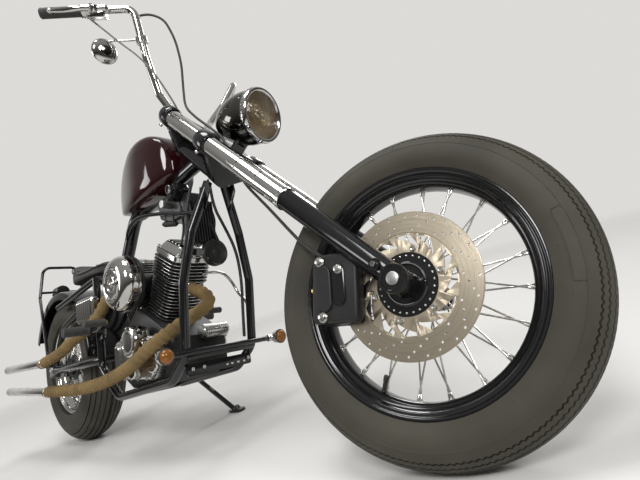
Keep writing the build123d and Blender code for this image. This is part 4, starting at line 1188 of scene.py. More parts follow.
class CHOPPER_OT_handlebar(bpy.types.Operator):
    """Model the grips, levers, housings and mirror"""
    bl_idname = "chopper.handlebar"
    bl_label = "Handlebar"

    def execute(self, context):
        for side, name in SIDES:
            stands_for = ("grips", "levers") if side < 0 else ()
            self.grip(side, name, *stands_for[:1])
            self.housing(side, name)
            self.lever(side, name, *stands_for[1:])
        self.reservoir()
        self.mirror()
        return {"FINISHED"}

    def grip(self, side, name, *stands_for):
        outline = [(12.6, -GRIP_LENGTH), (19.5, -GRIP_LENGTH), (20, -GRIP_LENGTH + 1), (20, -GRIP_LENGTH + 4),
                   (16.6, -GRIP_LENGTH + 6)]
        outline += ribbed(19, 9 - GRIP_LENGTH, 6, ((16.6, 0), (17.2, 0.6), (17.2, 3.6), (16.6, 4.2)))
        outline += [(17.4, -8), (17.4, -3), (15.5, -0.4), (0, 0)]
        settle(lathe(outline, 40), "grip_" + name, bar_place(side, 0), "black_rubber", "steering",
               *stands_for)

    def housing(self, side, name):
        """The throttle or switch housing beside the grip, in two halves with a seam."""
        half = [(12.6, 0), (20, 0), (21.2, 1.4), (21.2, 15), (20.4, 15.8), (20.4, 17), (21.2, 17.8),
                (21.2, 32), (19.5, 34), (12.6, 34)]
        place = bar_place(side, GRIP_LENGTH + 35)
        settle(lathe(half, 40, smooth=25), "housing_" + name, place, "chrome", "steering")
        screws = spread(socket_bolt(2.6, 2.5), [aim((10 * way, -20.2, 8 + 18 * row), (0, -1, 0))
                                                 for way in (-1, 1) for row in (0, 1)])
        settle(screws, "housing_screws_" + name, place, "polished_steel", "steering")
        clamp = [(12.6, 0), (17.4, 0), (18.2, 1.5), (18.2, 27), (17.4, 28.5), (12.6, 28.5)]
        settle(lathe(clamp, 40), "lever_clamp_" + name, bar_place(side, GRIP_LENGTH + 70), "chrome",
               "steering")

    def lever(self, side, name, *stands_for):
        """The blade, flat and tapered with a ball at its end, on the perch's two ears."""
        place = bar_place(side, GRIP_LENGTH)
        # In this place the tip of the bar is at local Z 134, and ahead is local X
        spine = [Vector((44, 0, -46)), Vector((55, 0, -20)), Vector((57, 0, 6)), Vector((52, 0, 34)),
                 Vector((46, 0, 66)), Vector((45, 0, 84))]
        widths = ((6.5, 5), (6.5, 4.5), (8, 4), (8.5, 3.6), (7, 3.6), (5, 3.6))
        blade = self.swept(spine, widths)
        ball = lathe([(8 * sin(pi * i / 12), 8 * -cos(pi * i / 12)) for i in range(13)], 24)
        blade = join([blade, row(ball, [(45, 0, 84)])])
        settle(blade, "lever_" + name, place, "chrome", "steering", *stands_for)
        perch = slab([(-8, -14), (4, -16), (30, -13), (40, -8), (44, -2), (44, 4), (38, 9), (26, 13), (4, 16),
                      (-8, 14)], -11, 11, 3)
        settle(perch, "perch_" + name, place @ aim((14, 0, -54), (0, 1, 0), (1, 0, 0)), "chrome", "steering")
        pivot = lathe([(0, -14), (7, -14), (7, -12), (5, -12), (5, 12), (7, 12), (7, 14), (0, 14)], 20)
        settle(pivot, "lever_pivot_" + name, place @ aim((44, 0, -46), (0, 1, 0)), "polished_steel",
               "steering")

    def swept(self, spine, widths):
        """A bar of oval sections along a line in the local XZ plane."""
        rings = []
        for point, (half_width, half_height) in zip(spine, widths):
            deselect()
            bpy.ops.mesh.primitive_circle_add(vertices=16, radius=1, location=point)
            ring = bpy.context.object
            ring.scale = (half_height, half_width, 1)
            rings.append(ring)
        join(rings)
        bpy.ops.object.mode_set(mode="EDIT")
        bpy.ops.mesh.select_all(action="SELECT")
        bpy.ops.mesh.bridge_edge_loops()
        bpy.ops.mesh.select_all(action="SELECT")
        bpy.ops.mesh.fill_holes(sides=16)
        return close_mesh(smooth=60)

    def reservoir(self):
        """The master cylinder, its box and the hose's fitting on the right."""
        place = bar_place(-1, GRIP_LENGTH)
        body = lathe([(0, -30), (7, -30), (9, -28), (13, -26), (13, 30), (11, 32), (8, 32), (8, 36),
                      (0, 36)], 32)
        settle(body, "master_cylinder", place @ Matrix.Translation((33, 0, -64)), "chrome", "steering")
        box = slab([(-15, -24), (15, -24), (15, 24), (-15, 24)], 0, 20, 4)
        lid = slab([(-16, -25), (16, -25), (16, 25), (-16, 25)], 20, 24, 1.5)
        upright = aim((32, -8, -62), (0, -1, 0), (1, 0, 0))
        settle(join([box, lid]), "fluid_box", place @ upright, "chrome", "steering")
        screws = row(dome(3, 1.6), [(0, y, 24) for y in (-18, 18)])
        settle(screws, "fluid_box_screws", place @ upright, "polished_steel", "steering")

    def mirror(self):
        """The mirror's polished bowl, its stem and its clamp on the bar."""
        back = Vector((-0.92, 0.18, 0.25)).normalized()
        centre = Vector((962, -262, 1262))
        bowl = [(0, -7), (12, -6.8), (26, -4.6), (35, -1), (40, 4), (41, 7), (40.4, 8), (38.6, 8), (38, 6.6)]
        shell = lathe(bowl + [(0, 6.6)], 64, smooth=50)
        place = aim(centre, back)
        settle(shell, "mirror_bowl", place, "chrome", "steering", "mirror")
        beads = lathe([(39.6, 4.6), (41.6, 5.2), (42, 7), (41.2, 8.6), (39.6, 8.6)], 64, closed=True)
        settle(beads, "mirror_rim", place, "chrome", "steering")
        cap = lathe([(0, 0), (15, 0), (16.4, -1.6), (15.6, -3.4), (9, -4.6), (0, -4.8)], 32)
        settle(cap, "mirror_cap", aim(centre - back * 6.6, back), "dark_chrome", "steering", slot="chrome")
        stem = rod([centre + Vector((0, 0, 38)), centre + Vector((16, 12, 44)), Vector((1012, -224, 1304)),
                    Vector((1046, -202, 1306))], 4)
        settle(stem, "mirror_stem", HERE, "chrome", "steering")
        clamp = lathe([(12.4, -11), (18, -11), (19, -10), (19, 10), (18, 11), (12.4, 11)], 32)
        along = BAR_BEND - Vector((1052, -172, 1250))
        settle(clamp, "mirror_clamp", aim(Vector((1053.4, -194, 1303)), along), "chrome", "steering")


# Engine
CRANK = (790, 330)
CYLINDER_LEAN = 30
# Distance of the engine's side covers from the middle, and the middle of its round cover and air cleaner
COVER_FACE = 124
ROUND_COVER = (850, 366)
AIR_CLEANER = (795, 566)
HORN_CENTRE = (1092, 28, 600)
DECK, HEAD_BOTTOM, HEAD_TOP = 128, 262, 336


def cylinder_place(lean, along):
    """A place on a cylinder's axis: local Z up the cylinder, local X ahead, local Y to the left."""
    up = Vector((sin(radians(lean)), 0, cos(radians(lean))))
    return aim(Vector((CRANK[0], 0, CRANK[1])) + up * along, up, FORWARD)


def right_place(x, y, z):
    """A place on the right side: local Z to the right, local X ahead, local Y up."""
    return aim((x, y, z), RIGHT, FORWARD)


def left_place(x, y, z):
    """A place on the left side: local Z to the left, local X ahead, local Y down."""
    return aim((x, y, z), LEFT, FORWARD)


def rounded_box(length, width, radius, steps=5):
    """The outline of a rectangle with round corners, about the origin."""
    points = []
    for corner, (sx, sy) in enumerate(((1, 1), (-1, 1), (-1, -1), (1, -1))):
        cx, cy = sx * (length / 2 - radius), sy * (width / 2 - radius)
        for index in range(steps + 1):
            turn = pi / 2 * (corner + index / steps)
            points.append((cx + radius * cos(turn), cy + radius * sin(turn)))
    return points


class CHOPPER_OT_cylinders(bpy.types.Operator):
    """Model the finned cylinders, heads and rocker covers"""
    bl_idname = "chopper.cylinders"
    bl_label = "Cylinders"

    def execute(self, context):
        leans = (CYLINDER_LEAN, -CYLINDER_LEAN)
        barrel = slab(rounded_box(152, 140, 38), 0, 3.6, 1.2)
        barrel_places = [cylinder_place(lean, DECK + 6 + i * 11.4) for lean in leans for i in range(12)]
        head = slab(rounded_box(160, 144, 30), 0, 3.6, 1.2)
        head_places = [cylinder_place(lean, HEAD_BOTTOM + 6 + i * 11.4) for lean in leans for i in range(6)]
        fins = join([spread(barrel, barrel_places), spread(head, head_places)])
        settle(fins, "cylinder_fins", HERE, "satin_black", "chassis", "cylinders")
        lift = Matrix.Translation((0, 0, 1.1))
        barrel = slab(rounded_box(153, 141, 38.5), 0, 1.4)
        head = slab(rounded_box(161, 145, 30.5), 0, 1.4)
        edges = join([spread(barrel, [place @ lift for place in barrel_places]),
                      spread(head, [place @ lift for place in head_places])])
        settle(edges, "fin_edges", HERE, "polished_alloy", "chassis")
        core = lathe([(0, 0), (58, 0), (58, HEAD_BOTTOM - DECK), (0, HEAD_BOTTOM - DECK)], 48)
        cores = spread(core, [cylinder_place(lean, DECK) for lean in leans])
        settle(cores, "cylinder_cores", HERE, "satin_black", "chassis")
        block = slab(rounded_box(136, 122, 20), 0, HEAD_TOP - HEAD_BOTTOM, 2)
        blocks = spread(block, [cylinder_place(lean, HEAD_BOTTOM) for lean in leans])
        settle(blocks, "cylinder_heads", HERE, "satin_black", "chassis")
        self.rocker_covers(leans)
        return {"FINISHED"}

    def rocker_covers(self, leans):
        skirt = slab(rounded_box(154, 134, 22), 0, 20, 3)
        filled([(x, y, 18) for x, y in rounded_box(142, 122, 22)])
        bpy.ops.mesh.extrude_region_move(TRANSFORM_OT_translate={"value": (0, 0, 30)})
        bpy.ops.transform.resize(value=(0.74, 0.7, 1))
        hood = rounded(close_mesh(), 5, 3, 25)
        rib = slab(rounded_box(8, 84, 3), 46, 53, 2)
        ribs = row(rib, [(x, 0, 0) for x in (-32, -11, 11, 32)])
        covers = spread(join([skirt, hood, ribs]), [cylinder_place(lean, HEAD_TOP) for lean in leans])
        settle(covers, "rocker_covers_finished", HERE, "chrome", "chassis", "rocker_covers")
        corners = [Matrix.Translation((x, y, 19)) for x in (-66, 66) for y in (-56, 0, 56)]
        bolts = spread(socket_bolt(5.5, 7), [cylinder_place(lean,
                                                            HEAD_TOP) @ c for lean in leans for c in corners])
        settle(bolts, "rocker_cover_bolts", HERE, "polished_steel", "chassis")


class CHOPPER_OT_air_cleaner(bpy.types.Operator):
    """Model the air cleaner's backing, drum, ringed disc and bolt"""
    bl_idname = "chopper.air_cleaner"
    bl_label = "Air cleaner"

    def execute(self, context):
        place = right_place(AIR_CLEANER[0], 0, AIR_CLEANER[1])
        duct = lathe([(0, 30), (30, 30), (30, 96), (44, 104), (90, 104), (92, 106), (92, 115), (90, 117),
                      (0, 117)], 96)
        box = slab(rounded_box(190, 44, 10), -8, 48, 4)
        settle(join([duct, box]), "air_cleaner_backing", place, "satin_black", "chassis", "air_cleaner")
        shoulder = arc((95, 142), (86, 168), (62, 180), 12)
        drum = lathe([(80, 117), (93, 117), (95, 119), (95.4, 124), (95, 126)] + shoulder
                     + [(60.5, 179), (59, 176.5), (56, 176), (54.4, 177), (54, 180), (52.8, 183),
                        (50.4, 184.2), (47.6, 183.4), (46.4, 181), (40, 180.2), (30, 180.2), (28.6, 182.4),
                        (26.4, 183), (24.4, 182), (23.6, 180), (12, 179.6), (11, 181), (0, 181)], 96,
                        smooth=24)
        settle(drum, "air_cleaner_drum", place, "chrome", "chassis")
        seam = lathe([(94.9, 127.6), (95.9, 127.8), (95.9, 130), (94.9, 130.2)], 96, closed=True)
        settle(seam, "air_cleaner_seam", place, "black_rubber", "chassis")
        bolt = hex_bolt(6.5, 5)
        settle(bolt, "air_cleaner_bolt", place @ Matrix.Translation((0, 0, 181)), "polished_steel", "chassis")
        return {"FINISHED"}


class CHOPPER_OT_engine_sides(bpy.types.Operator):
    """Model the crankcase, its side covers, the oil filter, the horn and the fasteners"""
    bl_idname = "chopper.engine_sides"
    bl_label = "Engine sides"

    def execute(self, context):
        refined("crankcase", "satin_black", 5)
        refined("engine_covers", "polished_alloy", 1.2)
        self.right_side()
        self.left_side()
        self.oil_filter()
        self.horn()
        return {"FINISHED"}

    def right_side(self):
        lobes = []
        # Middle along X and height, length, height and rounding of each raised lobe
        for x, z, length, height, radius in ((692, 310, 44, 104, 18), (742, 308, 40, 112, 17),
                                             (790, 304, 40, 116, 17), (932, 306, 58, 96, 24)):
            lobes.append(spread(slab(rounded_box(length, height, radius), 0, 13, 5),
                                [right_place(x, -COVER_FACE, z)]))
        settle(join(lobes), "right_cover_lobes", HERE, "chrome", "chassis")
        ring = lathe([(0, 0), (49, 0), (50, 2), (50, 38), (48, 42), (42, 44.5), (39, 44.6), (37.5, 42.4),
                      (34, 42), (31, 44), (12, 45.6), (0, 46)], 72, smooth=28)
        place = right_place(ROUND_COVER[0], -COVER_FACE, ROUND_COVER[1])
        settle(ring, "round_cover", place, "chrome", "chassis")
        screws = round_copies(socket_bolt(3.4, 3), 5, 44.5, 0.4)
        on_top = place @ Matrix.Translation((0, 0, 42))
        settle(screws, "round_cover_screws", on_top, "polished_steel", "chassis")
        spots = ((668, 262), (668, 360), (716, 250), (766, 246), (816, 244), (880, 243), (912, 246),
                 (958, 292), (958, 344), (906, 364))
        bolts = spread(socket_bolt(5, 6), [right_place(x, -COVER_FACE - 2, z) for x, z in spots])
        settle(bolts, "right_cover_bolts", HERE, "polished_steel", "chassis")

    def left_side(self):
        dish = lathe([(0, 0), (62, 0), (63, 2), (60, 9), (52, 11), (50, 8), (22, 9), (20, 12), (0, 13)], 72)
        settle(dish, "left_dish", left_place(860, COVER_FACE, 306), "chrome", "chassis")
        small = lathe([(0, 0), (34, 0), (35, 2), (32, 10), (0, 12)], 48)
        settle(small, "left_small_dish", left_place(732, COVER_FACE, 308), "chrome", "chassis")
        spots = ((668, 262), (668, 360), (716, 250), (796, 245), (900, 243), (950, 276), (962, 336),
                 (906, 368), (792, 374))
        bolts = spread(socket_bolt(5, 6), [left_place(x, COVER_FACE + 2, z) for x, z in spots])
        settle(bolts, "left_cover_bolts", HERE, "polished_steel", "chassis")

    def oil_filter(self):
        """The ribbed round cover across the front of the engine."""
        profile = [(0, 93), (12, 93), (18, 90), (21, 86)]
        profile += ribbed(11, 83, -7.6, ((23.4, 0), (23.4, -4), (20.6, -4.8), (20.6, -6.8)))
        profile += [(22, -3), (20, -9), (0, -10)]
        cover = lathe(profile, 48)
        settle(cover, "oil_filter_finished", aim((1026, 0, 358), LEFT, FORWARD), "polished_alloy", "chassis",
               "oil_filter")
        bracket = slab(rounded_box(30, 64, 6), -16, 16, 3)
        settle(bracket, "oil_filter_seat", aim((1000, 36, 346), UP, FORWARD), "satin_black", "chassis")

    def horn(self):
        """The horn's ringed face, body and strap."""
        body = lathe([(0, -30), (16, -30), (18, -28), (18, -4), (30, 0), (42, 2), (44, 4), (44, 20),
                      (42.5, 24), (40, 25.6), (37, 24), (34, 20), (26, 18.4), (24, 20), (22, 18.4),
                      (14, 18), (12, 20.5), (10, 21.5), (0, 22)], 72)
        settle(body, "horn_finished", aim(HORN_CENTRE, FORWARD), "satin_black", "chassis", "horn")
        ring = lathe([(38, 24.2), (40, 25.9), (42.4, 24.6), (42, 23)], 72)
        settle(ring, "horn_ring", aim(HORN_CENTRE, FORWARD), "dark_chrome", "chassis", slot="chrome")
        strap = slab(rounded_box(10, 110, 4), -1.5, 1.5, 0.6)
        settle(strap, "horn_strap", aim((1108, 31, 682), (1, 0, 0.3), (0, 1, 0.1)), "satin_black", "chassis")


# Each exhaust: corners of its route, the far end of its bare tip
EXHAUSTS = {
    "front": ([(978, 4, 508), (1040, 22, 474), (1074, 6, 436), (1060, -88, 392), (980, -156, 340),
               (860, -166, 287), (640, -176, 247), (430, -186, 239), (180, -205, 245)], (-290, -226, 267)),
    "rear": ([(600, -50, 575), (600, -104, 566), (612, -150, 490), (560, -172, 448), (411, -180, 424),
              (304, -182, 390), (150, -205, 362)], (-270, -235, 366)),
}


class CHOPPER_OT_exhausts(bpy.types.Operator):
    """Model the exhausts' lapped heat wrap, clamps and bare tips"""
    bl_idname = "chopper.exhausts"
    bl_label = "Exhausts"

    def execute(self, context):
        sizes = context.scene.chopper_sizes
        for name, (route, tip_end) in EXHAUSTS.items():
            nodes = ("exhausts",) if name == "front" else ()
            self.wrap(name, route, sizes, *nodes)
            self.tip(name, Vector(route[-1]), Vector(tip_end))
        return {"FINISHED"}

    def wrap(self, name, route, sizes, *stands_for):
        path = line_near(self.eased(route), 24)
        length = path.data.splines[0].calc_length()
        turns = int(length / sizes.wrap_pitch)
        pitch = length / turns
        draw([(0, 0, 18.6), (pitch * 0.1, 0, 19.2 + sizes.wrap_lap), (pitch * 0.3, 0, 19.4 + sizes.wrap_lap),
              (pitch * 0.7, 0, 19.4), (pitch * 1.12, 0, 18.6)])
        bpy.ops.object.mode_set(mode="OBJECT")
        band = bpy.context.object
        band.name = name + "_wrap"
        screw = band.modifiers.new("turns", "SCREW")
        screw.axis = "X"
        screw.steps = screw.render_steps = 20
        screw.iterations = turns
        screw.screw_offset = pitch
        screw.use_stretch_u = False
        screw.use_smooth_shade = True
        bend = band.modifiers.new("route", "CURVE")
        bend.object = path
        bend.deform_axis = "POS_X"
        pick(band)
        bpy.ops.object.modifier_apply(modifier=screw.name)
        bpy.ops.object.modifier_apply(modifier=bend.name)
        bpy.data.objects.remove(path)
        bpy.ops.object.mode_set(mode="EDIT")
        close_mesh(smooth=50)
        settle(band, name + "_heat_wrap", HERE, "heat_wrap", "chassis", *stands_for)
        ends = ((Vector(route[0]), Vector(route[1])), (Vector(route[-1]), Vector(route[-2])))
        ring = lathe([(19, -3), (21.4, -3), (22, -2), (22, 5), (21.4, 6), (19, 6)], 48, closed=True)
        rings = spread(ring, [aim(start, end - start) for start, end in ends[1:]])
        settle(rings, name + "_wrap_clamp", HERE, "polished_steel", "chassis")
        flange = lathe([(0, -14), (27, -14), (30, -12), (30, -3), (27, 0), (24, 3), (0, 4)], 48)
        settle(flange, name + "_pipe_flange", aim(ends[0][0], ends[0][1] - ends[0][0]), "polished_steel",
               "chassis")

    def eased(self, route):
        """The route with its end points doubled up close, so the ends stay straight."""
        first, last = Vector(route[0]), Vector(route[-1])
        start = first.lerp(Vector(route[1]), 0.3)
        end = last.lerp(Vector(route[-2]), 0.3)
        return [first, start] + [Vector(p) for p in route[1:-1]] + [end, last]

    def tip(self, name, start, end):
        length = (end - start).length
        pipe = lathe([(18, 0), (18, length - 2), (17.4, length - 0.4), (16.4, length), (15.6, length - 1),
                      (15.6, length - 80), (0, length - 80)], 48)
        settle(pipe, name + "_exhaust_tip", aim(start, end - start), "chrome", "chassis")


class CHOPPER_OT_frame_parts(bpy.types.Operator):
    """Model the indicators, the low plate's studs and the frame's small parts"""
    bl_idname = "chopper.frame_parts"
    bl_label = "Frame parts"

    def execute(self, context):
        refined("cross_tubes", "gloss_black", 1.5)
        self.indicators()
        studs = spread(dome(5, 3.4), [aim((1100, y, 246), FORWARD) for y in (24, 42, 66, 88)])
        settle(studs, "plate_studs", HERE, "polished_steel", "chassis")
        plate_bolts = spread(socket_bolt(5.5, 5), [aim((1100, y, 252), FORWARD) for y in (-98, -60, 104)])
        settle(plate_bolts, "plate_bolts", HERE, "polished_steel", "chassis")
        return {"FINISHED"}

    def indicators(self):
        body = lathe([(0, 0), (5, 0.4), (9, 3), (14, 9), (18.5, 18), (21.5, 30), (22.8, 40), (22.8, 43),
                      (21.4, 44.6), (19, 44.6), (19, 40), (0, 40)], 48)
        lens = lathe([(0, 41), (20.4, 41), (20.4, 45), (19.6, 50), (16.4, 55.5), (10.6, 59.6), (0, 61.6)], 48)
        seat = lathe([(20.4, 43), (23, 43.4), (23, 46.2), (20.4, 47)], 48, closed=True)
        feet = [aim((1114, side * 206, 300), FORWARD) for side in (-1, 1)]
        settle(spread(body, feet), "indicator_bodies", HERE, "chrome", "chassis", "indicators")
        settle(spread(lens, feet), "indicator_lenses", HERE, "amber_lens", "chassis")
        settle(spread(seat, feet), "indicator_seats", HERE, "black_rubber", "chassis")
        collar = lathe([(0, -12), (10, -12), (11, -11), (11, 8), (0, 8)], 24)
        collars = spread(collar, [aim((1132, side * 184, 300), LEFT * side) for side in (-1, 1)])
        settle(collars, "indicator_collars", HERE, "chrome", "chassis")


# Tank sections: place along X, bottom, top, half width, how square
TANK = ((1020, 910, 980, 26, 0.4), (1006, 888, 1018, 54, 0.4), (968, 862, 1062, 80, 0.42),
        (900, 852, 1084, 90, 0.44), (820, 850, 1086, 87, 0.46), (750, 852, 1068, 73, 0.5),
        (680, 858, 1034, 56, 0.56), (610, 870, 976, 34, 0.5), (572, 884, 926, 16, 0.5))


def lofted(sections, levels=1):
    """Joins closed outlines of (points, place) into one closed skin and subdivides it."""
    rings = []
    for outline, place in sections:
        filled([place @ Vector((x, y, 0)) for x, y in outline])
        bpy.ops.mesh.delete(type="ONLY_FACE")
        bpy.ops.object.mode_set(mode="OBJECT")
        rings.append(bpy.context.object)
    piece = join(rings)
    bpy.ops.object.mode_set(mode="EDIT")
    bpy.ops.mesh.select_all(action="SELECT")
    bpy.ops.mesh.bridge_edge_loops()
    bpy.ops.mesh.select_all(action="SELECT")
    bpy.ops.mesh.fill_holes(sides=64)
    close_mesh(smooth=70)
    if levels:
        skin = piece.modifiers.new("skin", "SUBSURF")
        skin.levels = skin.render_levels = levels
        bpy.ops.object.modifier_apply(modifier=skin.name)
    return piece


class CHOPPER_OT_tank(bpy.types.Operator):
    """Model the tank, its cap, and the lock, coil, tray and wiring under it"""
    bl_idname = "chopper.tank"
    bl_label = "Tank"

    def execute(self, context):
        sections = []
        for x, bottom, top, half, square in TANK:
            height = top - bottom
            radius = min(half, height / 2) * square
            place = aim((x, 0, (bottom + top) / 2), FORWARD, LEFT)
            sections.append((rounded_box(2 * half, height, radius, 3), place))
        tank = lofted(sections)
        settle(tank, "tank_finished", HERE, "maroon_paint", "chassis", "tank")
        cap = lathe([(0, 1066), (27, 1066), (28, 1076), (28, 1088), (25, 1090), (25, 1096), (27, 1097),
                     (27, 1101), (24, 1103.6), (8, 1104), (0, 1104)], 48)
        settle(cap, "tank_cap_finished", Matrix.Translation((850, 0, 0)), "chrome", "chassis", "tank_cap")
        rib = slab(rounded_box(30, 6, 2), 0, 4, 1)
        settle(rib, "tank_cap_rib", Matrix.Translation((850, 0, 1102)), "chrome", "chassis")
        self.below()
        return {"FINISHED"}

    def below(self):
        """The lock, the plug, the coil, the brace and the tray under the tank."""
        lock = right_place(1046, -64, 826)
        housing = slab([(1010, 832), (1062, 850), (1074, 820), (1040, 792), (1000, 800)], -30, 26, 9)
        settle(housing, "lock_housing", aim((0, -40, 0), RIGHT, FORWARD), "gloss_black", "chassis")
        barrel = lathe([(0, -20), (15, -20), (15, 12), (13.6, 14), (11, 14), (10.4, 11), (0, 11)], 40)
        settle(barrel, "lock_barrel", lock, "gloss_black", "chassis")
        ring = lathe([(10.8, 12), (14.8, 12.6), (15.2, 14), (14.4, 15.6), (11.4, 15.6)], 40, closed=True)
        settle(ring, "lock_ring", lock, "chrome", "chassis")
        slot = slab(rounded_box(2.4, 11, 1), 10, 12.4, 0.2)
        settle(slot, "lock_slot", lock, "plated_steel", "chassis")
        plug = lathe([(0, -40), (13, -40), (14, -38), (14, 4), (12.8, 6), (0, 6.4)], 40)
        settle(plug, "frame_plug", right_place(972, -60, 801), "plated_steel", "chassis")
        ribs = ribbed(7, -34, 10, ((8, 0), (10, 2), (10, 7), (8, 9)))
        coil = lathe([(0, -44), (6, -44), (6, -34)] + ribs + [(6, 36), (6, 44), (0, 44)], 32)
        settle(coil, "ignition_coil", aim((985, -48, 728), (1, 0, -0.25)), "satin_black", "chassis")
        brace = rod([(590, -10, 772), (640, -40, 790), (760, -52, 822), (980, -56, 768), (1100, -60, 726),
                     (1180, -64, 710)], 7)
        settle(brace, "frame_brace", HERE, "gloss_black", "chassis")
        straps = row(slab(rounded_box(10, 44, 3), -1.5, 1.5, 0.8), [(x, 0, 0) for x in (-24, 24)])
        settle(straps, "coil_straps", aim((985, -50, 746), RIGHT, FORWARD), "satin_black", "chassis")
        tray = slab([(880, 838), (1010, 834), (1092, 806), (1108, 762), (1084, 736), (960, 738), (892, 770)],
                    -32, 32, 8)
        settle(tray, "electrics_tray", aim((0, 0, 0), RIGHT, FORWARD), "black_plastic", "chassis")
        self.wiring()

    def wiring(self):
        """The looms, the regulator, the breather hose and the gussets between the downtubes."""
        looms = [rod(points, radius) for points, radius in (
            ([(1120, -34, 830), (1096, -46, 760), (1120, -72, 690), (1132, -92, 600), (1122, -104, 500),
              (1104, -106, 400), (1096, -104, 320)], 5),
            ([(1126, 30, 826), (1108, 44, 760), (1122, 66, 690), (1136, 92, 600), (1126, 104, 500),
              (1108, 106, 410), (1098, 104, 320)], 5),
            ([(1030, -30, 800), (1046, -36, 740), (1036, -30, 690), (1008, -30, 650)], 4),
            ([(1110, 4, 820), (1100, 0, 760), (1078, 12, 700), (1092, 26, 640), (1088, 20, 600)], 4),
            ([(1070, 40, 800), (1090, 58, 740), (1074, 60, 680), (1040, 48, 640), (1004, 40, 622)], 5),
        )]
        settle(join(looms), "wiring_looms", HERE, "black_rubber", "chassis")
        case = slab(rounded_box(150, 92, 10), -14, 14, 4)
        fins = row(slab(rounded_box(140, 3, 1), 12, 26, 0.6), [(0, y, 0) for y in range(-40, 41, 10)])
        settle(join([case, fins]), "regulator", aim((1082, 0, 706), FORWARD, UP), "satin_black", "chassis")
        hose = rod([(1030, 20, 547), (1044, 64, 549), (1044, 102, 540), (1048, 126, 505), (1062, 133, 466),
                    (1096, 132, 440), (1118, 124, 410)], 5)
        settle(hose, "breather_hose", HERE, "polished_steel", "chassis")
        for side, name in SIDES:
            outline = [(1180, 716), (1196, 716), (1232, 770), (1228, 800), (1198, 792)]
            plate = slab([(x, -side * z) for x, z in outline], -2, 2, 1)
            settle(plate, "gusset_" + name, aim((0, side * 46, 0), (0, side, 0), FORWARD), "gloss_black",
                   "chassis")


class CHOPPER_OT_seat(bpy.types.Operator):
    """Model the padded solo seat with its piping and seams"""
    bl_idname = "chopper.seat"
    bl_label = "Seat"

    def execute(self, context):
        # Place along X, underside, top and half width of each section
        table = ((486, 668, 716, 50), (470, 668, 724, 72), (430, 668, 716, 92), (370, 668, 708, 104),
                 (310, 668, 712, 108), (260, 667, 726, 107), (222, 667, 744, 100), (198, 668, 762, 88),
                 (188, 676, 764, 70))
        sections = []
        for x, low, high, half in table:
            crown = min(16, (high - low) * 0.3)
            outline = [(half * 0.94, low), (half, low + 10), (half * 0.985, high - crown),
                       (half * 0.86, high - 3), (half * 0.5, high - 1), (0, high - 4),
                       (-half * 0.5, high - 1), (-half * 0.86, high - 3), (-half * 0.985, high - crown),
                       (-half, low + 10), (-half * 0.94, low)]
            sections.append((outline, aim((x, 0, 0), BACKWARD, LEFT * -1)))
        seat = lofted(sections, 2)
        settle(seat, "seat_cushion", HERE, "black_leather", "chassis", "seat")
        line = [(x, half * 0.995, high - min(16, (high - low) * 0.3)) for x, low, high, half in table]
        loop = line + [(x, -y, z) for x, y, z in reversed(line)]
        piping = rod(loop + [loop[0]], 2.6, 6)
        settle(piping, "seat_piping", HERE, "black_leather", "chassis")
        seams = []
        for x, high, half in ((430, 716, 92), (370, 708, 104), (310, 712, 108), (260, 726, 107)):
            shares = (-1, -0.5, 0, 0.5, 1)
            across = [(x, half * 0.86 * share, high + 0.4 - 3 * abs(share)) for share in shares]
            seams.append(rod(across, 1.3, 4))
        settle(join(seams), "seat_seams", HERE, "black_leather", "chassis")
        return {"FINISHED"}


# Rear tyre: outer radius, radius of its round section, and half width at the bead
REAR_TYRE = {"radius": 326, "crown": 85, "bead": 57}


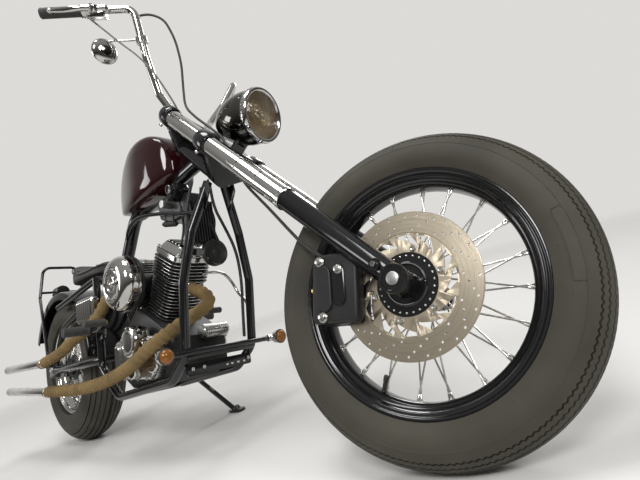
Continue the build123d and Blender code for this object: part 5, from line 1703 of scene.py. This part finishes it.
class CHOPPER_OT_rear_end(bpy.types.Operator):
    """Model the rear wheel, its grooved tyre, the fender, the rear fork, the hoop and the side cover"""
    bl_idname = "chopper.rear_end"
    bl_label = "Rear end"

    def execute(self, context):
        self.tyre()
        make_wheel_parts("rear", context.scene.chopper_sizes)
        self.hub()
        self.fender()
        refined("swingarm", "gloss_black", 2)
        refined("rear_axle", "plated_steel", 1)
        refined("hoop", "gloss_black", 1)
        self.tail_lamp()
        self.side_cover()
        return {"FINISHED"}

    def tyre(self):
        crown = REAR_TYRE["crown"]
        middle = REAR_TYRE["radius"] - crown
        profile = [(191, 0), (191, REAR_TYRE["bead"]), (205, REAR_TYRE["bead"] + 1)]
        wall = [tyre_section(middle, crown, radians(a)) for a in (116, 108, 100, 92, 84, 76, 68)]
        profile += wall[:3] + [(wall[3][0], wall[3][1] + 0.6)] + wall[4:]
        for degree in (58, 43, 29, 15, 2):
            edges = [radians(degree + 1.7), radians(degree - 1.7)]
            for depth, angle in ((0, edges[0]), (6, edges[0]), (6, edges[1]), (0, edges[1])):
                profile.append(tyre_section(middle, crown, angle, depth))
        right = [(r, -z) for r, z in reversed(profile[1:])]
        tyre = lathe(profile + right, 96, closed=True, smooth=32)
        settle(tyre, "rear_tyre_finished", axle_place(REAR_AXLE), "tyre_rubber", "rear_wheel", "rear_tyre")

    def hub(self):
        hub = lathe([(9, -62), (32, -62), (34, -60), (35, -48), (52, -44), (57, -42), (57.6, -40), (56, -37),
                     (44, -35), (36, -30), (34, 0), (36, 30), (44, 35), (56, 37), (57.6, 40), (57, 42),
                     (60, 46), (60, 84), (58, 86), (9, 86)], 64)
        settle(hub, "rear_hub", axle_place(REAR_AXLE), "satin_black", "rear_wheel")

    def fender(self):
        inner = 346
        half = [(inner - 30, 97), (inner - 30, 99), (inner - 6, 99), (inner, 97), (inner + 3, 90),
                (inner + 5, 40), (inner + 5.6, 0)]
        outer = half + [(r, -z) for r, z in reversed(half[:-1])]
        under = [(r - 2.4, z * 0.972) for r, z in reversed(outer[1:-1])]
        start = radians(-155)
        points = [(r * cos(start), r * sin(start), z) for r, z in outer + under]
        draw(points + points[:1])
        bpy.ops.mesh.select_all(action="SELECT")
        bpy.ops.mesh.spin(steps=40, angle=radians(-150), center=(0, 0, 0), axis=(0, 0, 1))
        bpy.ops.mesh.select_all(action="SELECT")
        bpy.ops.mesh.fill_holes(sides=64)
        fender = close_mesh()
        settle(fender, "rear_fender_finished", axle_place(REAR_AXLE), "gloss_black", "chassis", "rear_fender")

    def tail_lamp(self):
        place = aim((-258, 0, 716), (-1, 0, 0))
        ring = lathe([(0, -2), (34, -2), (35, 0), (35, 5), (33, 7), (30, 7), (29, 4), (0, 4)], 48)
        settle(ring, "tail_lamp_ring", place, "chrome", "chassis")
        lens = lathe([(0, 3), (28.6, 3), (27, 7), (18, 10.4), (0, 11.6)], 48)
        settle(lens, "tail_lamp_lens", place, "red_lens", "chassis", slot="amber_lens")

    def side_cover(self):
        place = right_place(450, -120, 528)
        panel = slab(rounded_box(170, 96, 26), -2, 26, 7)
        ribs = row(slab(rounded_box(12, 74, 5.5), 22, 31, 3.5), [(x, 0, 0) for x in range(-60, 61, 20)])
        settle(join([panel, ribs]), "side_cover_finished", place, "chrome", "chassis", "side_cover")
        screws = row(socket_bolt(4.5, 4), [(x, y, 25) for y in (32, -32) for x in (-70, 70)])
        settle(screws, "side_cover_screws", place, "polished_steel", "chassis")


class CHOPPER_OT_foot_controls(bpy.types.Operator):
    """Model the foot pegs, pedals and side stand"""
    bl_idname = "chopper.foot_controls"
    bl_label = "Foot controls"

    def execute(self, context):
        for side, name in SIDES:
            refined("foot_controls_" + name, "gloss_black", 1)
            outward = LEFT * side
            profile = [(0, 0), (15, 0), (16.4, 1.4), (16.4, 6), (15.4, 7)]
            profile += ribbed(9, 9, 7.4, ((15.2, 0), (16.2, 0.8), (16.2, 4.6), (15.2, 5.4)))
            profile += [(16.4, 76), (16.4, 80), (14, 82.4), (0, 83)]
            rubber = lathe(profile, 32)
            settle(rubber, "peg_rubber_" + name, aim((655, side * 208, 435), outward), "black_rubber",
                   "chassis")
            pad = [(0, 0), (11, 0), (12.2, 1), (12.2, 5), (11.2, 6)]
            pad += ribbed(8, 8, 6.6, ((11.2, 0), (12, 0.7), (12, 4), (11.2, 4.7)))
            pad += [(12.2, 62), (12.2, 66), (10.6, 68), (0, 68.5)]
            cover = lathe(pad, 28)
            settle(cover, "pedal_rubber_" + name, aim((760, side * 194, 446), outward), "black_rubber",
                   "chassis")
            end = socket_bolt(7, 5)
            settle(end, "pedal_end_" + name, aim((760, side * 192, 446), outward * -1), "brass", "chassis",
                   slot="plated_steel")
        refined("side_stand", "gloss_black", 1.5)
        spring = self.spring(Vector((708, 152, 192)), Vector((744, 196, 140)))
        settle(spring, "stand_spring", HERE, "plated_steel", "side_stand")
        return {"FINISHED"}

    def spring(self, start, end):
        """A coil spring with plain ends."""
        way = end - start
        turns = 12
        coil = [(5.5 * cos(a), 5.5 * sin(a), way.length * a / (2 * pi * turns))
                for a in (pi / 6 * i for i in range(turns * 12 + 1))]
        wire = rod(coil, 1.3, 4)
        return spread(wire, [aim(start, way)])


# The way to the pale backdrop, as the camera looks
BACKDROP = (-0.66, 0.74, 0.1)
SHOWN_TONE = (0.72, 0.71, 0.69, 1.0)
# The room's tone below and above
LOW_TONE, HIGH_TONE = (0.05, 0.047, 0.042), (0.4, 0.4, 0.39)
# The photograph's camera, fitted on the leaned motorcycle in millimetres and degrees
EYE = Vector((2298.9, -745.6, 446.5))
HEADING, CLIMB, ROLL = radians(130.3), radians(3.0), radians(-17.2)
LENS = 25.065
FLOOR_SIZE = 60.0


class CHOPPER_OT_stage(bpy.types.Operator):
    """Set the pale floor, the soft lamps, the sky and the camera"""
    bl_idname = "chopper.stage"
    bl_label = "Stage"

    def execute(self, context):
        self.floor()
        self.lamps()
        self.sky(context)
        self.camera(context)
        return {"FINISHED"}

    def floor(self):
        deselect()
        bpy.ops.mesh.primitive_grid_add(x_subdivisions=4, y_subdivisions=4, size=FLOOR_SIZE)
        floor = bpy.context.object
        floor.name = "studio_floor"
        floor.data.materials.append(finished("floor_paint"))

    def lamps(self):
        # Where each soft lamp hangs and what it faces, in metres, with its size and its power in watts
        table = (
            ("key", (2.2, -3.2, 3.4), (0.2, -0.2, 0.5), 1.3, 95),
            ("front", (4.2, -0.2, 2.2), (0.4, -0.1, 0.5), 1.0, 48),
            ("fill", (-3.0, -3.0, 2.2), (-0.4, -0.1, 0.4), 1.4, 40),
            ("back", (-1.0, 3.6, 3.0), (0.0, 0.0, 0.6), 1.4, 60),
            ("top", (0.2, -0.4, 4.4), (0.2, -0.2, 0.3), 1.4, 70),
        )
        for name, spot, target, size, power in table:
            deselect()
            bpy.ops.object.light_add(type="AREA", location=spot)
            lamp = bpy.context.object
            lamp.name = "lamp_" + name
            lamp.data.shape = "SQUARE"
            lamp.data.size = size
            lamp.data.energy = power
            lamp.matrix_world = aim(spot, Vector(spot) - Vector(target))

    def sky(self, context):
        """A dim room with a pale backdrop behind the motorcycle, which is plain for the camera."""
        world = bpy.data.worlds.new("studio")
        context.scene.world = world
        nodes = Nodes(world)
        room, out = nodes.tree.nodes["Background"], nodes.tree.nodes["World Output"]
        shown = nodes.node("ShaderNodeBackground", {}, {"Color": SHOWN_TONE})
        way = nodes.node("ShaderNodeTexCoord", {}, {}, "Generated")
        height = nodes.node("ShaderNodeSeparateXYZ", {}, {0: way}, "Z").ramp(-0.2, 0.9)
        nodes.plug(room.inputs["Color"], nodes.tint(height, LOW_TONE, HIGH_TONE))
        facing = nodes.node("ShaderNodeVectorMath", {"operation": "DOT_PRODUCT"}, {0: way, 1: BACKDROP},
                            "Value")
        rays = [nodes.node("ShaderNodeLightPath", {}, {}, "Is " + kind + " Ray")
                for kind in ("Glossy", "Transmission", "Camera")]
        mirrored = rays[0].maths("MAXIMUM", *rays[:2]) * facing.ramp(0.35, 0.75)
        share = mirrored.maths("MAXIMUM", rays[2], mirrored)
        light = nodes.node("ShaderNodeMixShader", {}, {0: share, 1: Wire(nodes, room.outputs[0]), 2: shown})
        nodes.plug(out.inputs["Surface"], light)

    def camera(self, context):
        """The photograph's camera, at its fitted place."""
        ahead = Vector((cos(HEADING) * cos(CLIMB), sin(HEADING) * cos(CLIMB), sin(CLIMB)))
        level = Vector((sin(HEADING), -cos(HEADING), 0))
        above = level.cross(ahead)
        side = level * cos(ROLL) + above * sin(ROLL)
        top = above * cos(ROLL) - level * sin(ROLL)
        fitted = Matrix((side, top, -ahead)).transposed().to_4x4()
        fitted.translation = EYE
        place = PARKED @ LEANED.inverted() @ fitted
        deselect()
        bpy.ops.object.camera_add()
        camera = bpy.context.object
        camera.name = "photo_camera"
        camera.matrix_world = Matrix.LocRotScale(place.to_translation(), place.to_quaternion(), None)
        camera.data.sensor_width = 36.0
        camera.data.lens = LENS
        camera.data.clip_start = 0.02
        context.scene.camera = camera


class CHOPPER_OT_frame_finishes(bpy.types.Operator):
    """Give every node of the frame the finish that the record names for it"""
    bl_idname = "chopper.frame_finishes"
    bl_label = "Frame finishes"

    def execute(self, context):
        for subpart in frame["record"]["subparts"]:
            node = NODES[subpart["node"]]
            node.data.materials.clear()
            node.data.materials.append(finished(subpart["material_slot"]))
        return {"FINISHED"}


OPERATORS = (CHOPPER_OT_frame_finishes, CHOPPER_OT_front_tyre, CHOPPER_OT_tyre_marks, CHOPPER_OT_front_wheel,
             CHOPPER_OT_brake_disc, CHOPPER_OT_fork, CHOPPER_OT_caliper, CHOPPER_OT_headlamp,
             CHOPPER_OT_handlebar, CHOPPER_OT_cylinders, CHOPPER_OT_air_cleaner, CHOPPER_OT_engine_sides,
             CHOPPER_OT_exhausts, CHOPPER_OT_frame_parts, CHOPPER_OT_tank, CHOPPER_OT_seat,
             CHOPPER_OT_rear_end, CHOPPER_OT_foot_controls, CHOPPER_OT_stage)


class CHOPPER_PT_pieces(bpy.types.Panel):
    """The pieces of the motorcycle, its sizes and its colours"""
    bl_label = "Chopper motorcycle"
    bl_space_type = "VIEW_3D"
    bl_region_type = "UI"
    bl_category = "Chopper"

    def draw(self, context):
        for group in (context.scene.chopper_sizes, context.scene.chopper_colours):
            for name in group.__annotations__:
                self.layout.prop(group, name)
        for operator in OPERATORS:
            self.layout.operator(operator.bl_idname)


CLASSES = (ChopperColours, ChopperSizes, CHOPPER_PT_pieces, *OPERATORS)


def register():
    for each in CLASSES:
        bpy.utils.register_class(each)
    bpy.types.Scene.chopper_colours = bpy.props.PointerProperty(type=ChopperColours)
    bpy.types.Scene.chopper_sizes = bpy.props.PointerProperty(type=ChopperSizes)


def unregister():
    del bpy.types.Scene.chopper_sizes
    del bpy.types.Scene.chopper_colours
    for each in reversed(CLASSES):
        bpy.utils.unregister_class(each)


def main():
    """Registers the add-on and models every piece."""
    register()
    bpy.context.scene.view_settings.view_transform = "Standard"
    for operator in OPERATORS:
        group, name = operator.bl_idname.split(".")
        getattr(getattr(bpy.ops, group), name)()


if __name__ == "__main__":
    main()
